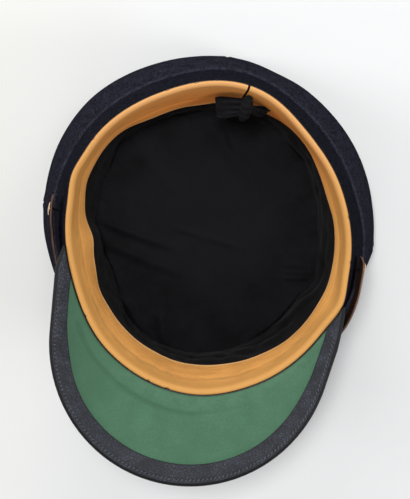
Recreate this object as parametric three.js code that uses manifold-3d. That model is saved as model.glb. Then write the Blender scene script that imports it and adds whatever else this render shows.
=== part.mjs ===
// Peaked cap, lying upside down on its crown: wool crown and band, leather sweatband, black lining,
// bound peak, chin strap and side buttons. Millimetres and degrees, +Z up, the peak towards -Y.
// The crown's flat face lies on z = 0, and the origin is at the middle of that face.
import * as THREE from "three";
import { mergeVertices } from "three/addons/utils/BufferGeometryUtils.js";
import Module from "manifold-3d";

// Driving sizes
const GAP = 0.3; // clearance between neighbouring pieces
const STATIONS = 60; // sections round each ring
const RIM_HEIGHT = 87; // rim above the crown's face, on the axis
const RIM_TILT = 0.092; // rise of the rim for each millimetre towards the front
const WOOL = 2; // crown cloth
const BAND_WALL = 2.4; // band cloth with its stiffener
const BAND_DROP = 41.7; // rim to the middle of the piping
const BAND_TOP = 2; // depth of the band's edge under the folded leather
const PIPING_RADIUS = 1.2;
const PIPING_SIDES = 6;
const CROWN_EDGE_HEIGHT = 7; // seam of the crown's top panel above its face
const CROWN_EDGE_ROUND = 9; // width of the rounded margin of the top panel
const CROWN_BULGE = 3; // how far the crown's side swells between seam and piping
const CROWN_STEPS = [0, 0.3, 0.65, 1]; // shares of the way from seam to piping
const LEATHER = 1.2; // sweatband
const SWEATBAND_DROP = 37; // rim to the sweatband's free edge
const SWEATBAND_STEPS = [0.3, 0.65, 1]; // shares of the way from the fold to the free edge
// The leather's fold over the rim: a quarter ellipse up to its crest and a longer one down to the face.
const FOLD = { edge: 0.1, lip: 1.3, lip_drop: 1.1, width: 3, drop: 4 };
const FOLD_TURNS = [0, 35, 65, 90];
const JOIN_ANGLE = 176.5; // where the sweatband's ends meet at the back
const JOIN_GAP = 0.9;
const LINING = 1;
const LINING_TOP_DROP = 8; // the lining starts behind the sweatband
const LINING_CLEAR = 0.8; // lining to the sweatband's free edge
const LINING_STEPS = [0.35, 0.7]; // shares of the way from the free edge to the tip
const LINING_TIP = { x: -1.5, y: -12.5, half_width: 76.5, half_length: 84.5 };
const PEAK_SLOPE = 22; // rise of the peak from the rim's plane
const PEAK_HALF_ANGLE = 73.5; // the peak's corners, either side of the front
// The peak's edge: a round front, then straight sides that spread by the flare as they run back.
const PEAK_OUTLINE = { x: 3.3, y: -64.4, radius: 87.8, flare: 7 };
const PEAK_CORNER = { length: 2, taper: 0.95, span: 15 }; // taper for each degree from the corner
const PEAK_STATIONS = 32;
const PEAK_LINING = 1;
const PEAK_BOARD = 1.3;
const PEAK_SEAM = 0.4; // sunk seam between the sweatband's fold and the green underside
const BINDING = 1;
const BINDING_WIDTH = { most: 13.5, corner: 9.5, growth: 0.09 }; // growth for each millimetre of the peak
const STRAP = { width: 14, thickness: 1.4, drop: 14, from: -93.4, to: 93.2, end_round: 7, stations: 46 };
const BUTTON = { radius: 4.2, height: 1.8, edge: 0.5, shank_radius: 0.9, sides: 16 };
const BUTTON_ANGLES = { button_left: -87.3, button_right: 88.9 };
const BOW = { angle: 175.4, drop: 12.5, off: 8.2, layer: 1 };
const KNOT = { radius: 4.2, length: 10, tilt: 45 };
const JOIN_DISTANCE = 1e-4; // points closer than this are one

// Plan of the cap: a row every 30 degrees from the front towards +X. rim is the distance from the axis
// to the outer edge of the rim, lean how far the sweatband's free edge stands in from it, flare how far
// the band spreads out to the piping, and crown the distance from the axis to the crown's edge.
const PLAN = [
  { angle: 0, rim: 98.5, lean: 9.4, flare: 6, crown: 110 },
  { angle: 30, rim: 97, lean: 7.6, flare: 7.5, crown: 109.5 },
  { angle: 60, rim: 93.6, lean: 6.2, flare: 10, crown: 108.5 },
  { angle: 90, rim: 90.8, lean: 8.2, flare: 11, crown: 110.3 },
  { angle: 120, rim: 88.5, lean: 10.1, flare: 7.6, crown: 107.8 },
  { angle: 150, rim: 90.9, lean: 9.3, flare: 5.4, crown: 106.1 },
  { angle: 180, rim: 97.3, lean: 17, flare: 4.1, crown: 107.1 },
  { angle: 210, rim: 94.4, lean: 15.1, flare: 4.9, crown: 108.8 },
  { angle: 240, rim: 93.9, lean: 9.9, flare: 7, crown: 112.9 },
  { angle: 270, rim: 89.8, lean: 8.2, flare: 12, crown: 113.2 },
  { angle: 300, rim: 88.5, lean: 10.9, flare: 12, crown: 112.5 },
  { angle: 330, rim: 94.6, lean: 9.4, flare: 9, crown: 111 },
];

// Where the rim is pushed out, by the peak's right corner and behind the left button, or in.
const RIM_SWELLS = [
  { angle: 75, depth: 2.6, spread: 8 },
  { angle: 144, depth: -0.8, spread: 12 },
  { angle: 257, depth: 1.7, spread: 7 },
];

// Dents that push the sweatband's free edge inwards.
const SWEATBAND_DENTS = [
  { angle: 30, depth: 0.9, spread: 16 },
  { angle: 143, depth: -0.9, spread: 10 },
  { angle: 196, depth: 1.2, spread: 9 },
  { angle: 222, depth: 1.3, spread: 14 },
  { angle: 262, depth: -1.2, spread: 8 },
  { angle: 286, depth: 3.5, spread: 8 },
  { angle: 327, depth: 0.9, spread: 12 },
];

// Where the crown's edge and the swell of its side stand out further or, by the right button, less.
const CROWN_SWELLS = [
  { angle: 68, edge: 0, side: 3.2, spread: 14 },
  { angle: 82, edge: -3.2, side: -1.5, spread: 5 },
];

// Where the seam round the lining's tip swells out of its ellipse or is drawn in.
const TIP_SWELLS = [
  { angle: 79, depth: 4, spread: 7 },
  { angle: 137, depth: 2.5, spread: 9 },
  { angle: 180, depth: -6, spread: 13 },
  { angle: 236, depth: 4.5, spread: 11 },
  { angle: 303, depth: -9.5, spread: 22 },
];

// Gathers of the lining's side: each pushes the cloth in towards the head, most at half its height.
const LINING_GATHERS = [
  { angle: 22, depth: 2.4, spread: 10 },
  { angle: 58, depth: 3.2, spread: 12 },
  { angle: 104, depth: 2, spread: 9 },
  { angle: 141, depth: 3, spread: 10 },
  { angle: 204, depth: 2.2, spread: 9 },
  { angle: 246, depth: 2.6, spread: 8 },
  { angle: 285, depth: 3.4, spread: 9 },
  { angle: 322, depth: 2.8, spread: 10 },
];

// The strap's place: off is how far its middle stands off the band, held by the buttons' shanks at the
// sides and close in at the front, and lean how far its lower edge lies out from its upper one.
const STRAP_PLACE = [
  { angle: -97, off: 3.6, lean: 1.4 },
  { angle: -91, off: 6, lean: 1.4 },
  { angle: -86, off: 5.6, lean: 1.4 },
  { angle: -78, off: 4.7, lean: 1.7 },
  { angle: -68, off: 4.6, lean: 2.3 },
  { angle: -40, off: 2.8, lean: 2.5 },
  { angle: 0, off: 1.2, lean: 2 },
  { angle: 36, off: 3.2, lean: 2 },
  { angle: 66, off: 6.4, lean: 0 },
  { angle: 77, off: 4.4, lean: -1 },
  { angle: 86, off: 4.1, lean: -1.4 },
  { angle: 91, off: 4, lean: -1.4 },
  { angle: 97, off: 1.2, lean: -1.4 },
];

// The bow's two loops: how far each reaches from the knot, how wide its ribbon is, how thick it stands, how
// far its lower edge tilts off the leather, how far it turns down from level and how far its end rises.
const BOW_LOOPS = [
  { reach: -19.2, ribbon: 13, loft: 3.4, tilt: 50, turn: 20, rise: 8 },
  { reach: 16, ribbon: 8, loft: 3.4, tilt: 15, turn: 28, rise: -14 },
];

const wasm = await Module();
wasm.setup();

const radians = THREE.MathUtils.degToRad;

// A column of PLAN at any angle, on a smooth closed curve through its rows.
function around(column, angle) {
  const step = 360 / PLAN.length;
  const place = (((angle % 360) + 360) % 360) / step;
  const first = Math.floor(place);
  const [a, b, c, d] = [-1, 0, 1, 2].map((k) => PLAN[(first + k + PLAN.length) % PLAN.length][column]);
  const t = place - first;
  return b + 0.5 * t * (c - a + t * (2 * a - 5 * b + 4 * c - d + t * (3 * (b - c) + d - a)));
}

// A column of an open table at any angle, easing from row to row.
function between(table, column, angle) {
  const next = Math.max(1, Math.min(table.length - 1, table.findIndex((row) => row.angle > angle)));
  const [a, b] = [table[next - 1], table[next]];
  return THREE.MathUtils.lerp(a[column], b[column], THREE.MathUtils.smoothstep(angle, a.angle, b.angle));
}

// The sum of the bumps in a table's column at an angle, each fading out over its spread.
function bumps(table, angle, column = "depth") {
  const apart = (row) => ((((angle - row.angle) % 360) + 540) % 360) - 180;
  return table.reduce((sum, row) => sum + row[column] * Math.exp(-((apart(row) / row.spread) ** 2)), 0);
}

const plainRim = (angle) => around("rim", angle);
const rim = (angle) => plainRim(angle) + bumps(RIM_SWELLS, angle);
const crownEdge = (angle) => around("crown", angle) + bumps(CROWN_SWELLS, angle, "edge");
const rimZ = (angle) => RIM_HEIGHT + RIM_TILT * rim(angle) * Math.cos(radians(angle));
const freeEdge = (angle) => plainRim(angle) - around("lean", angle) - bumps(SWEATBAND_DENTS, angle);

// The band's outer face: it spreads evenly from the rim down to the piping.
function bandFace(angle, drop) {
  return THREE.MathUtils.lerp(rim(angle), plainRim(angle) + around("flare", angle), drop / BAND_DROP);
}

const foldIn = FOLD.edge + FOLD.lip + FOLD.width;

// The sweatband's inner face below its fold: its distance from the axis at a depth below the rim.
function sweatbandFace(angle, drop) {
  const share = (drop - FOLD.drop) / (SWEATBAND_DROP - FOLD.drop);
  return THREE.MathUtils.lerp(rim(angle) - foldIn, freeEdge(angle), share);
}

// A point at an angle from the front, a distance from the axis and a height.
function point(angle, radius, z) {
  const turn = radians(angle);
  return new THREE.Vector3(radius * Math.sin(turn), -radius * Math.cos(turn), z);
}

// Angles of the sections of a full ring.
const ringAngles = Array.from({ length: STATIONS }, (_, i) => (360 * i) / STATIONS);

// Angles of the sections of an open piece, its ends included.
function spanAngles(from, to, count) {
  return Array.from({ length: count }, (_, i) => THREE.MathUtils.lerp(from, to, i / (count - 1)));
}

// Closes two facing sheets, each a list of rows of points, into one wall. ring joins the last row to the
// first, and pole draws the last point of every row together at the middle of a disc.
function wall(outer, inner, { ring = false, pole = false } = {}) {
  const rows = outer.length;
  const columns = outer[0].length;
  const last = columns - 1;
  const points = [...outer.flat(), ...inner.flat()];
  const triangles = [];
  const at = (sheet, row, column) =>
    (sheet * rows + (pole && column === last ? 0 : row % rows)) * columns + column;
  const face = (a, b, c) => {
    if (a !== b && b !== c && c !== a) triangles.push(a, b, c);
  };
  const quad = (a, b, c, d) => {
    face(a, b, c);
    face(a, c, d);
  };
  for (let row = 0; row < rows - (ring ? 0 : 1); row++) {
    for (let column = 0; column < last; column++) {
      quad(at(0, row, column), at(0, row + 1, column), at(0, row + 1, column + 1), at(0, row, column + 1));
      quad(at(1, row, column), at(1, row, column + 1), at(1, row + 1, column + 1), at(1, row + 1, column));
    }
    quad(at(0, row, 0), at(1, row, 0), at(1, row + 1, 0), at(0, row + 1, 0));
    if (!pole) quad(at(0, row, last), at(0, row + 1, last), at(1, row + 1, last), at(1, row, last));
  }
  const end = rows - 1;
  for (let column = 0; column < last && !ring; column++) {
    quad(at(0, 0, column), at(0, 0, column + 1), at(1, 0, column + 1), at(1, 0, column));
    quad(at(0, end, column), at(1, end, column), at(1, end, column + 1), at(0, end, column + 1));
  }
  return facingOut(points, triangles);
}

// A geometry of points and triangles, turned round where its faces point inwards.
function facingOut(points, triangles) {
  let volume = 0;
  for (let i = 0; i < triangles.length; i += 3) {
    const [a, b, c] = [0, 1, 2].map((k) => points[triangles[i + k]]);
    volume += a.dot(b.clone().cross(c));
  }
  const index = volume < 0 ? triangles.slice().reverse() : triangles;
  const geometry = new THREE.BufferGeometry().setFromPoints(points).setIndex(index);
  geometry.computeVertexNormals();
  return geometry;
}

// A geometry as a solid that can be joined and cut.
function solid(geometry) {
  const bare = geometry.clone();
  bare.deleteAttribute("normal");
  bare.deleteAttribute("uv");
  const merged = mergeVertices(bare, JOIN_DISTANCE);
  return new wasm.Manifold(
    new wasm.Mesh({
      numProp: 3,
      vertProperties: new Float32Array(merged.attributes.position.array),
      triVerts: new Uint32Array(merged.index.array),
    }),
  );
}

// A solid as a geometry again.
function geometryOf(body) {
  const { vertProperties, triVerts } = body.getMesh();
  const geometry = new THREE.BufferGeometry();
  geometry.setAttribute("position", new THREE.BufferAttribute(vertProperties, 3));
  geometry.setIndex(new THREE.BufferAttribute(triVerts, 1));
  geometry.computeVertexNormals();
  return geometry;
}

// The crown's top panel: flat where the cap lies on it, its margin rounded up to the seam.
function crownTop() {
  const margin = [90, 60, 30, 0].map(radians);
  const row = (angle, inset) => {
    const edge = crownEdge(angle) - CROWN_EDGE_ROUND;
    const wide = CROWN_EDGE_ROUND - inset;
    const tall = CROWN_EDGE_HEIGHT - inset;
    const rise = (t) => inset + tall * (1 - Math.cos(t));
    const rounded = margin.map((t) => point(angle, edge + wide * Math.sin(t), rise(t)));
    return [...rounded, point(angle, edge / 2, inset), new THREE.Vector3(0, 0, inset)];
  };
  return wall(
    ringAngles.map((angle) => row(angle, 0)),
    ringAngles.map((angle) => row(angle, WOOL)),
    { ring: true, pole: true },
  );
}

// The crown's side: from the top panel's seam it swells and draws in to the piping.
function crownSide() {
  const row = (angle, inset) => {
    const low = CROWN_EDGE_HEIGHT + GAP;
    const high = rimZ(angle) - BAND_DROP - PIPING_RADIUS - GAP;
    const outside = crownEdge(angle);
    const welt = bandFace(angle, BAND_DROP);
    const bulge = CROWN_BULGE + bumps(CROWN_SWELLS, angle, "side");
    return CROWN_STEPS.map((t) => {
      const swell = bulge * 4 * t * (1 - t);
      const radius = THREE.MathUtils.lerp(outside, welt, t) + swell;
      return point(angle, radius - inset, THREE.MathUtils.lerp(low, high, t));
    });
  };
  return wall(
    ringAngles.map((angle) => row(angle, 0)),
    ringAngles.map((angle) => row(angle, WOOL)),
    { ring: true },
  );
}

// The welt in the seam between crown and band: a thin closed cord.
function piping() {
  const middle = (angle) => bandFace(angle, BAND_DROP) - PIPING_RADIUS / 2;
  const path = new THREE.CatmullRomCurve3(
    ringAngles.map((angle) => point(angle, middle(angle), rimZ(angle) - BAND_DROP)),
    true,
  );
  return new THREE.TubeGeometry(path, STATIONS, PIPING_RADIUS, PIPING_SIDES, true);
}

// The head band: from under the folded leather it spreads down to the piping.
function band() {
  const drops = [BAND_TOP, BAND_DROP / 2, BAND_DROP - PIPING_RADIUS - GAP];
  const row = (angle, inset) =>
    drops.map((drop) => point(angle, bandFace(angle, drop) - inset, rimZ(angle) - drop));
  return wall(
    ringAngles.map((angle) => row(angle, 0)),
    ringAngles.map((angle) => row(angle, BAND_WALL)),
    { ring: true },
  );
}

// The sweatband: leather folded over the band's edge, then leaning in to its free edge, with its ends
// a slit apart at the back.
function sweatband() {
  const crest = FOLD.edge + FOLD.lip;
  const turns = FOLD_TURNS.map(radians);
  const halfSlit = THREE.MathUtils.radToDeg(JOIN_GAP / 2 / rim(JOIN_ANGLE));
  const grid = ringAngles.map((angle) => JOIN_ANGLE + angle + 180 / STATIONS);
  const angles = [JOIN_ANGLE + halfSlit, ...grid, JOIN_ANGLE + 360 - halfSlit];
  const row = (angle, thick) => {
    const at = (inset, drop) => point(angle, rim(angle) - inset, rimZ(angle) - drop);
    const foot = thick ? BAND_TOP - GAP : FOLD.lip_drop;
    const up = turns.map((t) =>
      at(crest - FOLD.lip * Math.cos(t), THREE.MathUtils.lerp(foot, thick, Math.sin(t))),
    );
    const over = turns.slice(1).map((t) =>
      at(crest + (FOLD.width - thick) * Math.sin(t), thick + (FOLD.drop - thick) * (1 - Math.cos(t))),
    );
    const fall = SWEATBAND_STEPS.map((share) => {
      const drop = THREE.MathUtils.lerp(FOLD.drop, SWEATBAND_DROP, share);
      return point(angle, sweatbandFace(angle, drop) + thick, rimZ(angle) - drop);
    });
    return [...up, ...over, ...fall];
  };
  return wall(
    angles.map((angle) => row(angle, LEATHER)),
    angles.map((angle) => row(angle, 0)),
  );
}

// A point of the seam between the lining's side and its tip, at a height, moved out by a margin.
function tipPoint(angle, z, margin) {
  const turn = radians(angle);
  const grow = margin + bumps(TIP_SWELLS, angle);
  return new THREE.Vector3(
    LINING_TIP.x + (LINING_TIP.half_width + grow) * Math.sin(turn),
    LINING_TIP.y - (LINING_TIP.half_length + grow) * Math.cos(turn),
    z,
  );
}

// The lining's side: it hangs behind the sweatband and runs in, gathered, to the tip.
function liningSide() {
  const foot = WOOL + GAP;
  const row = (angle, out) => {
    const behindBand = bandFace(angle, LINING_TOP_DROP) - BAND_WALL - GAP - LINING;
    const top = point(angle, behindBand + out, rimZ(angle) - LINING_TOP_DROP);
    const behind = freeEdge(angle) + LEATHER + LINING_CLEAR + out;
    const edge = point(angle, behind, rimZ(angle) - SWEATBAND_DROP - LEATHER);
    const seam = tipPoint(angle, foot, out);
    const fall = LINING_STEPS.map((t) => {
      const gather = bumps(LINING_GATHERS, angle) * Math.sin(Math.PI * t);
      const inward = point(angle, -gather, 0);
      return edge.clone().lerp(seam, t).add(inward);
    });
    return [top, edge, ...fall, seam];
  };
  return wall(
    ringAngles.map((angle) => row(angle, LINING)),
    ringAngles.map((angle) => row(angle, 0)),
    { ring: true },
  );
}

// The lining's tip: a round of cloth lying on the inside of the crown's top panel.
function liningTip() {
  const row = (angle, z) => {
    const edge = tipPoint(angle, z, -GAP);
    const middle = new THREE.Vector3(LINING_TIP.x, LINING_TIP.y, z);
    return [edge, edge.clone().lerp(middle, 0.5), middle];
  };
  return wall(
    ringAngles.map((angle) => row(angle, WOOL + GAP)),
    ringAngles.map((angle) => row(angle, WOOL + GAP + LINING)),
    { ring: true, pole: true },
  );
}

// How far the peak's edge lies from the axis: a round front that runs on straight along both sides.
function peakReach(angle) {
  const turn = radians(angle);
  const along = new THREE.Vector2(Math.sin(turn), -Math.cos(turn));
  const centre = new THREE.Vector2(PEAK_OUTLINE.x, PEAK_OUTLINE.y);
  const middle = centre.dot(along);
  const round = middle + Math.sqrt(middle ** 2 - centre.lengthSq() + PEAK_OUTLINE.radius ** 2);
  const flare = radians(PEAK_OUTLINE.flare);
  const facing = new THREE.Vector2(Math.sign(angle) * Math.cos(flare), -Math.sin(flare));
  const side = (centre.dot(facing) + PEAK_OUTLINE.radius) / along.dot(facing);
  return round * along.y > PEAK_OUTLINE.y + PEAK_OUTLINE.radius * facing.y ? side : round;
}

// A point of the peak: along is the distance up its slope from the rim, height that above the green face.
function peakPoint(angle, along, height) {
  const slope = radians(PEAK_SLOPE);
  const out = along * Math.cos(slope) - height * Math.sin(slope);
  const up = along * Math.sin(slope) + height * Math.cos(slope);
  return point(angle, rim(angle) + GAP + out, rimZ(angle) + up);
}

// The length of the peak's slope at an angle, from the rim to its edge: it runs out towards the corners.
function peakLength(angle) {
  const slope = (peakReach(angle) - rim(angle) - GAP) / Math.cos(radians(PEAK_SLOPE));
  const fromCorner = PEAK_HALF_ANGLE - Math.abs(angle);
  if (fromCorner > PEAK_CORNER.span) return slope;
  return Math.min(slope, PEAK_CORNER.length + PEAK_CORNER.taper * fromCorner);
}

const peakAngles = spanAngles(-PEAK_HALF_ANGLE, PEAK_HALF_ANGLE, PEAK_STATIONS);

// A layer of the peak between two heights, from a distance off the band to just inside the binding's fold.
function peakLayer(start, low, high) {
  const sheet = (height) =>
    peakAngles.map((angle) => {
      const end = peakLength(angle) - BINDING - GAP;
      const from = Math.min(start, end / 2);
      return [0, 0.5, 1].map((t) => peakPoint(angle, THREE.MathUtils.lerp(from, end, t), height));
    });
  return wall(sheet(low), sheet(high));
}

const peakBoardTop = -PEAK_LINING - GAP;
const peakBoardFoot = peakBoardTop - PEAK_BOARD;

// The green underside, which faces up as the cap lies, and the board behind it.
const peakLining = () => peakLayer(PEAK_SEAM, -PEAK_LINING, 0);
const peakTop = () => peakLayer(0, peakBoardFoot, peakBoardTop);

// The binding: a strip folded over the peak's edge, as wide on both faces, running out at the corners.
function peakBinding() {
  const high = GAP;
  const low = peakBoardFoot - GAP;
  const middle = (high + low) / 2;
  const sections = peakAngles.map((angle) => {
    const edge = peakLength(angle);
    const tapered = BINDING_WIDTH.corner + BINDING_WIDTH.growth * edge;
    const start = edge - Math.min(BINDING_WIDTH.most, tapered, edge - GAP);
    const fold = edge - BINDING;
    const bend = Math.max(start + GAP, fold - BINDING);
    const outside = [
      [start, high + BINDING],
      [bend, high + BINDING],
      [edge - BINDING * 0.4, high],
      [edge, middle],
      [edge - BINDING * 0.4, low],
      [bend, low - BINDING],
      [start, low - BINDING],
    ];
    const inside = [
      [start, high],
      [bend, high],
      [fold, high],
      [fold, middle],
      [fold, low],
      [bend, low],
      [start, low],
    ];
    return [outside, inside].map((line) => line.map(([along, height]) => peakPoint(angle, along, height)));
  });
  return wall(
    sections.map(([outside]) => outside),
    sections.map(([, inside]) => inside),
  );
}

// The gap between the middle of the strap and the band at an angle.
const standoff = (angle) => between(STRAP_PLACE, "off", angle);

// The chin strap: a flat leather strip round the front, rounded at both ends and pierced for the buttons.
function chinStrap(shanks) {
  const angles = spanAngles(STRAP.from, STRAP.to, STRAP.stations);
  const sheet = (out) =>
    angles.map((angle) => {
      const toEnd = Math.min(angle - STRAP.from, STRAP.to - angle);
      const share = Math.min(1, (radians(toEnd) * rim(angle) + 1) / STRAP.end_round);
      const half = (STRAP.width / 2) * Math.sqrt(1 - (1 - share) ** 2);
      const middle = bandFace(angle, STRAP.drop) + standoff(angle) + out;
      const lean = between(STRAP_PLACE, "lean", angle) / STRAP.width;
      const edge = (below) => point(angle, middle + lean * below, rimZ(angle) - STRAP.drop - below);
      return [edge(half), edge(-half)];
    });
  const strip = solid(wall(sheet(STRAP.thickness), sheet(0)));
  return geometryOf(shanks.reduce((body, shank) => body.subtract(solid(shank)), strip));
}

// Where a button's shank meets the band: its foot and the way it points.
function buttonSeat(angle) {
  return {
    foot: point(angle, bandFace(angle, STRAP.drop) + GAP, rimZ(angle) - STRAP.drop),
    way: point(angle, STRAP.width, between(STRAP_PLACE, "lean", angle)).normalize(),
  };
}

// A round hole for a button's shank, right through the strap.
function shankHole(angle) {
  const { foot, way } = buttonSeat(angle);
  const length = 2 * (standoff(angle) + 2 * STRAP.thickness);
  const radius = BUTTON.shank_radius + GAP;
  const hole = new THREE.CylinderGeometry(radius, radius, length, BUTTON.sides);
  hole.applyQuaternion(new THREE.Quaternion().setFromUnitVectors(THREE.Object3D.DEFAULT_UP, way));
  return hole.translate(foot.x, foot.y, foot.z);
}

// A domed button turned about +Y, its shank's foot at the origin.
function button(angle) {
  const lift = standoff(angle) + STRAP.thickness;
  const dome = [75, 50, 25, 0].map((rise) => [
    BUTTON.radius * Math.cos(radians(rise)),
    lift + BUTTON.edge + (BUTTON.height - BUTTON.edge) * Math.sin(radians(rise)),
  ]);
  const profile = [
    [0, 0],
    [BUTTON.shank_radius, 0],
    [BUTTON.shank_radius, lift],
    [BUTTON.radius, lift],
    ...dome.reverse(),
    [0, lift + BUTTON.height],
  ];
  return new THREE.LatheGeometry(
    profile.map(([radius, y]) => new THREE.Vector2(radius, y)),
    BUTTON.sides,
  );
}

// A loop of ribbon: a flattened ring of one layer, its narrow end in the knot and its far end blunt.
function bowLoop({ reach, ribbon, loft, tilt, turn, rise }) {
  const side = Math.sign(reach);
  const half = loft / 2;
  const layer = BOW.layer;
  const hollow = half - layer;
  const shoulder = reach - side * half;
  const blunt = half / 2;
  const ring = new THREE.Shape();
  ring.moveTo(0, -layer).lineTo(shoulder, -half).lineTo(reach, -blunt);
  ring.lineTo(reach, blunt).lineTo(shoulder, half).lineTo(0, layer);
  const hole = new THREE.Path();
  const heel = side * (KNOT.radius + layer);
  hole.moveTo(heel, 0).lineTo(shoulder, hollow).lineTo(reach - side * layer, 0).lineTo(shoulder, -hollow);
  ring.holes.push(hole);
  const loop = new THREE.ExtrudeGeometry(ring, { depth: ribbon, bevelEnabled: false });
  loop.translate(0, 0, -ribbon / 2).rotateX(-Math.PI / 2).rotateX(radians(-tilt));
  return loop.rotateZ(radians(-side * turn)).rotateY(radians(-side * rise));
}

// The bow: two ribbon loops joined by a knot, hanging off the leather. Its own +X runs along the band
// and its own +Z away from the leather.
function bow() {
  const knot = new THREE.CapsuleGeometry(KNOT.radius, KNOT.length, 3, 8).rotateX(radians(-KNOT.tilt));
  const loops = BOW_LOOPS.map((loop) => solid(bowLoop(loop)));
  return geometryOf(loops.reduce((body, loop) => body.add(loop), solid(knot)));
}

// A named piece with the colour and finish of its material.
function piece(name, geometry, { colour, roughness, metalness = 0 }) {
  const finish = new THREE.MeshStandardMaterial({ color: colour, roughness, metalness });
  const mesh = new THREE.Mesh(geometry, finish);
  mesh.name = name;
  return mesh;
}

const FINISH = {
  wool: { colour: 0x14172a, roughness: 0.95 },
  tan_leather: { colour: 0xc98a48, roughness: 0.55 },
  lining_cloth: { colour: 0x0d0e12, roughness: 0.85 },
  green_leather: { colour: 0x47775a, roughness: 0.7 },
  peak_leather: { colour: 0x16171c, roughness: 0.5 },
  binding_leather: { colour: 0x2b2e36, roughness: 0.6 },
  strap_leather: { colour: 0x4a2f1f, roughness: 0.5 },
  brass: { colour: 0xb98445, roughness: 0.3, metalness: 1 },
  ribbon: { colour: 0x121318, roughness: 0.6 },
};

const cap = new THREE.Group();
cap.add(
  piece("crown_top", crownTop(), FINISH.wool),
  piece("crown_side", crownSide(), FINISH.wool),
  piece("piping", piping(), FINISH.wool),
  piece("band", band(), FINISH.wool),
  piece("sweatband", sweatband(), FINISH.tan_leather),
  piece("lining_side", liningSide(), FINISH.lining_cloth),
  piece("lining_tip", liningTip(), FINISH.lining_cloth),
  piece("peak_lining", peakLining(), FINISH.green_leather),
  piece("peak_top", peakTop(), FINISH.peak_leather),
  piece("peak_binding", peakBinding(), FINISH.binding_leather),
  piece("chin_strap", chinStrap(Object.values(BUTTON_ANGLES).map(shankHole)), FINISH.strap_leather),
);

for (const [name, angle] of Object.entries(BUTTON_ANGLES)) {
  const { foot, way } = buttonSeat(angle);
  const mesh = piece(name, button(angle), FINISH.brass);
  mesh.position.copy(foot);
  mesh.quaternion.setFromUnitVectors(THREE.Object3D.DEFAULT_UP, way);
  cap.add(mesh);
}

// The bow lies on the sweatband's inner face, which slopes from the fold to the free edge.
const bowMesh = piece("bow", bow(), FINISH.ribbon);
const bowSlope = Math.atan2(rim(BOW.angle) - foldIn - freeEdge(BOW.angle), SWEATBAND_DROP - FOLD.drop);
const inward = point(BOW.angle, -Math.cos(bowSlope), Math.sin(bowSlope));
const upward = point(BOW.angle, Math.sin(bowSlope), Math.cos(bowSlope));
const sideways = upward.clone().cross(inward);
bowMesh.quaternion.setFromRotationMatrix(new THREE.Matrix4().makeBasis(sideways, upward, inward));
bowMesh.position.copy(point(BOW.angle, sweatbandFace(BOW.angle, BOW.drop), rimZ(BOW.angle) - BOW.drop));
bowMesh.position.addScaledVector(inward, BOW.off);
cap.add(bowMesh);

export default cap;
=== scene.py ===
import math

import bmesh
import bpy
import numpy as np
from bpy.props import FloatProperty, FloatVectorProperty, PointerProperty
from bpy.types import Operator, Panel, PropertyGroup
from mathutils import Matrix, Vector


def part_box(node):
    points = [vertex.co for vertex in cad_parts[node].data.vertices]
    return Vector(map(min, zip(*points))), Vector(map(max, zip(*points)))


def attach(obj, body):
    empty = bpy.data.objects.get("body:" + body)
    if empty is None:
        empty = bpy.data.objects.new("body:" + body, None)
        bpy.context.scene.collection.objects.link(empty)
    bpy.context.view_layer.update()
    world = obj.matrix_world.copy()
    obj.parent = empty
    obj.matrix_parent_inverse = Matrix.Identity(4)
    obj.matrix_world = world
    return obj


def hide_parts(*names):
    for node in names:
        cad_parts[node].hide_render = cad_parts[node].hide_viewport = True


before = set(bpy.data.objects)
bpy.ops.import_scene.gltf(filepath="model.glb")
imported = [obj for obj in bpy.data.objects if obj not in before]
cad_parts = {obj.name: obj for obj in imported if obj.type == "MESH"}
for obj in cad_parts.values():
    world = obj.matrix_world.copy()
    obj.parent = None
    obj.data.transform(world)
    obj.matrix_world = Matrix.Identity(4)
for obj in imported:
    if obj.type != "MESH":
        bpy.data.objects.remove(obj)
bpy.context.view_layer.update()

bl_info = {
    "name": "Peaked Cap",
    "version": (1, 0, 0),
    "blender": (4, 5, 0),
    "location": "View3D > Sidebar > Cap",
    "description": "Dresses a peaked cap that lies on its crown: wool, leather, lining, peak and chin strap",
    "category": "Add Mesh",
}

MM = 0.001
CM = 0.01
GAP = 0.3 * MM  # clearance between neighbouring pieces
DOUBLES = 1e-7  # points closer together than this are one
SHARP_EDGE = 50  # degrees from which an edge shows as sharp
CROWN_EDGE_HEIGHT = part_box("crown_top")[1].z


def table(names, *rows):
    """Rows of numbers as a dict of columns, each an array. The cap's own lengths are in millimetres there,
    and angles in degrees."""
    return dict(zip(names.split(), np.array(rows, float).T))


# Plan of the cap: a row every 30 degrees from the front towards +X. rim is the distance from the axis to the
# rim's outer edge, lean how far the sweatband's free edge stands in from it, flare how far the band spreads
# out to the welt, and crown the distance from the axis to the crown's edge.
PLAN = table(
    "rim lean flare crown",
    (98.5, 9.4, 6, 110),
    (97, 7.6, 7.5, 109.5),
    (93.6, 6.2, 10, 108.5),
    (90.8, 8.2, 11, 110.3),
    (88.5, 10.1, 7.6, 107.8),
    (90.9, 9.3, 5.4, 106.1),
    (97.3, 17, 4.1, 107.1),
    (94.4, 15.1, 4.9, 108.8),
    (93.9, 9.9, 7, 112.9),
    (89.8, 8.2, 12, 113.2),
    (88.5, 10.9, 12, 112.5),
    (94.6, 9.4, 9, 111),
)

# Where the rim is pushed out, most by the peak's right corner and behind the left button, or in.
RIM_SWELLS = table(
    "angle depth spread",
    (10, 0.7, 12),
    (75, 2.6, 8),
    (144, -0.8, 12),
    (168, 0.8, 12),
    (257, 1.7, 7),
)

# Where the sweatband's free edge is dented inwards or, below zero, stands out.
SWEATBAND_DENTS = table(
    "angle depth spread",
    (30, 0.9, 16),
    (118, 0.6, 10),
    (143, -0.9, 10),
    (196, 1.2, 9),
    (222, 1.3, 14),
    (262, -1.2, 8),
    (286, 3.5, 8),
    (311, -1.2, 8),
    (327, 0.9, 12),
)

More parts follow.
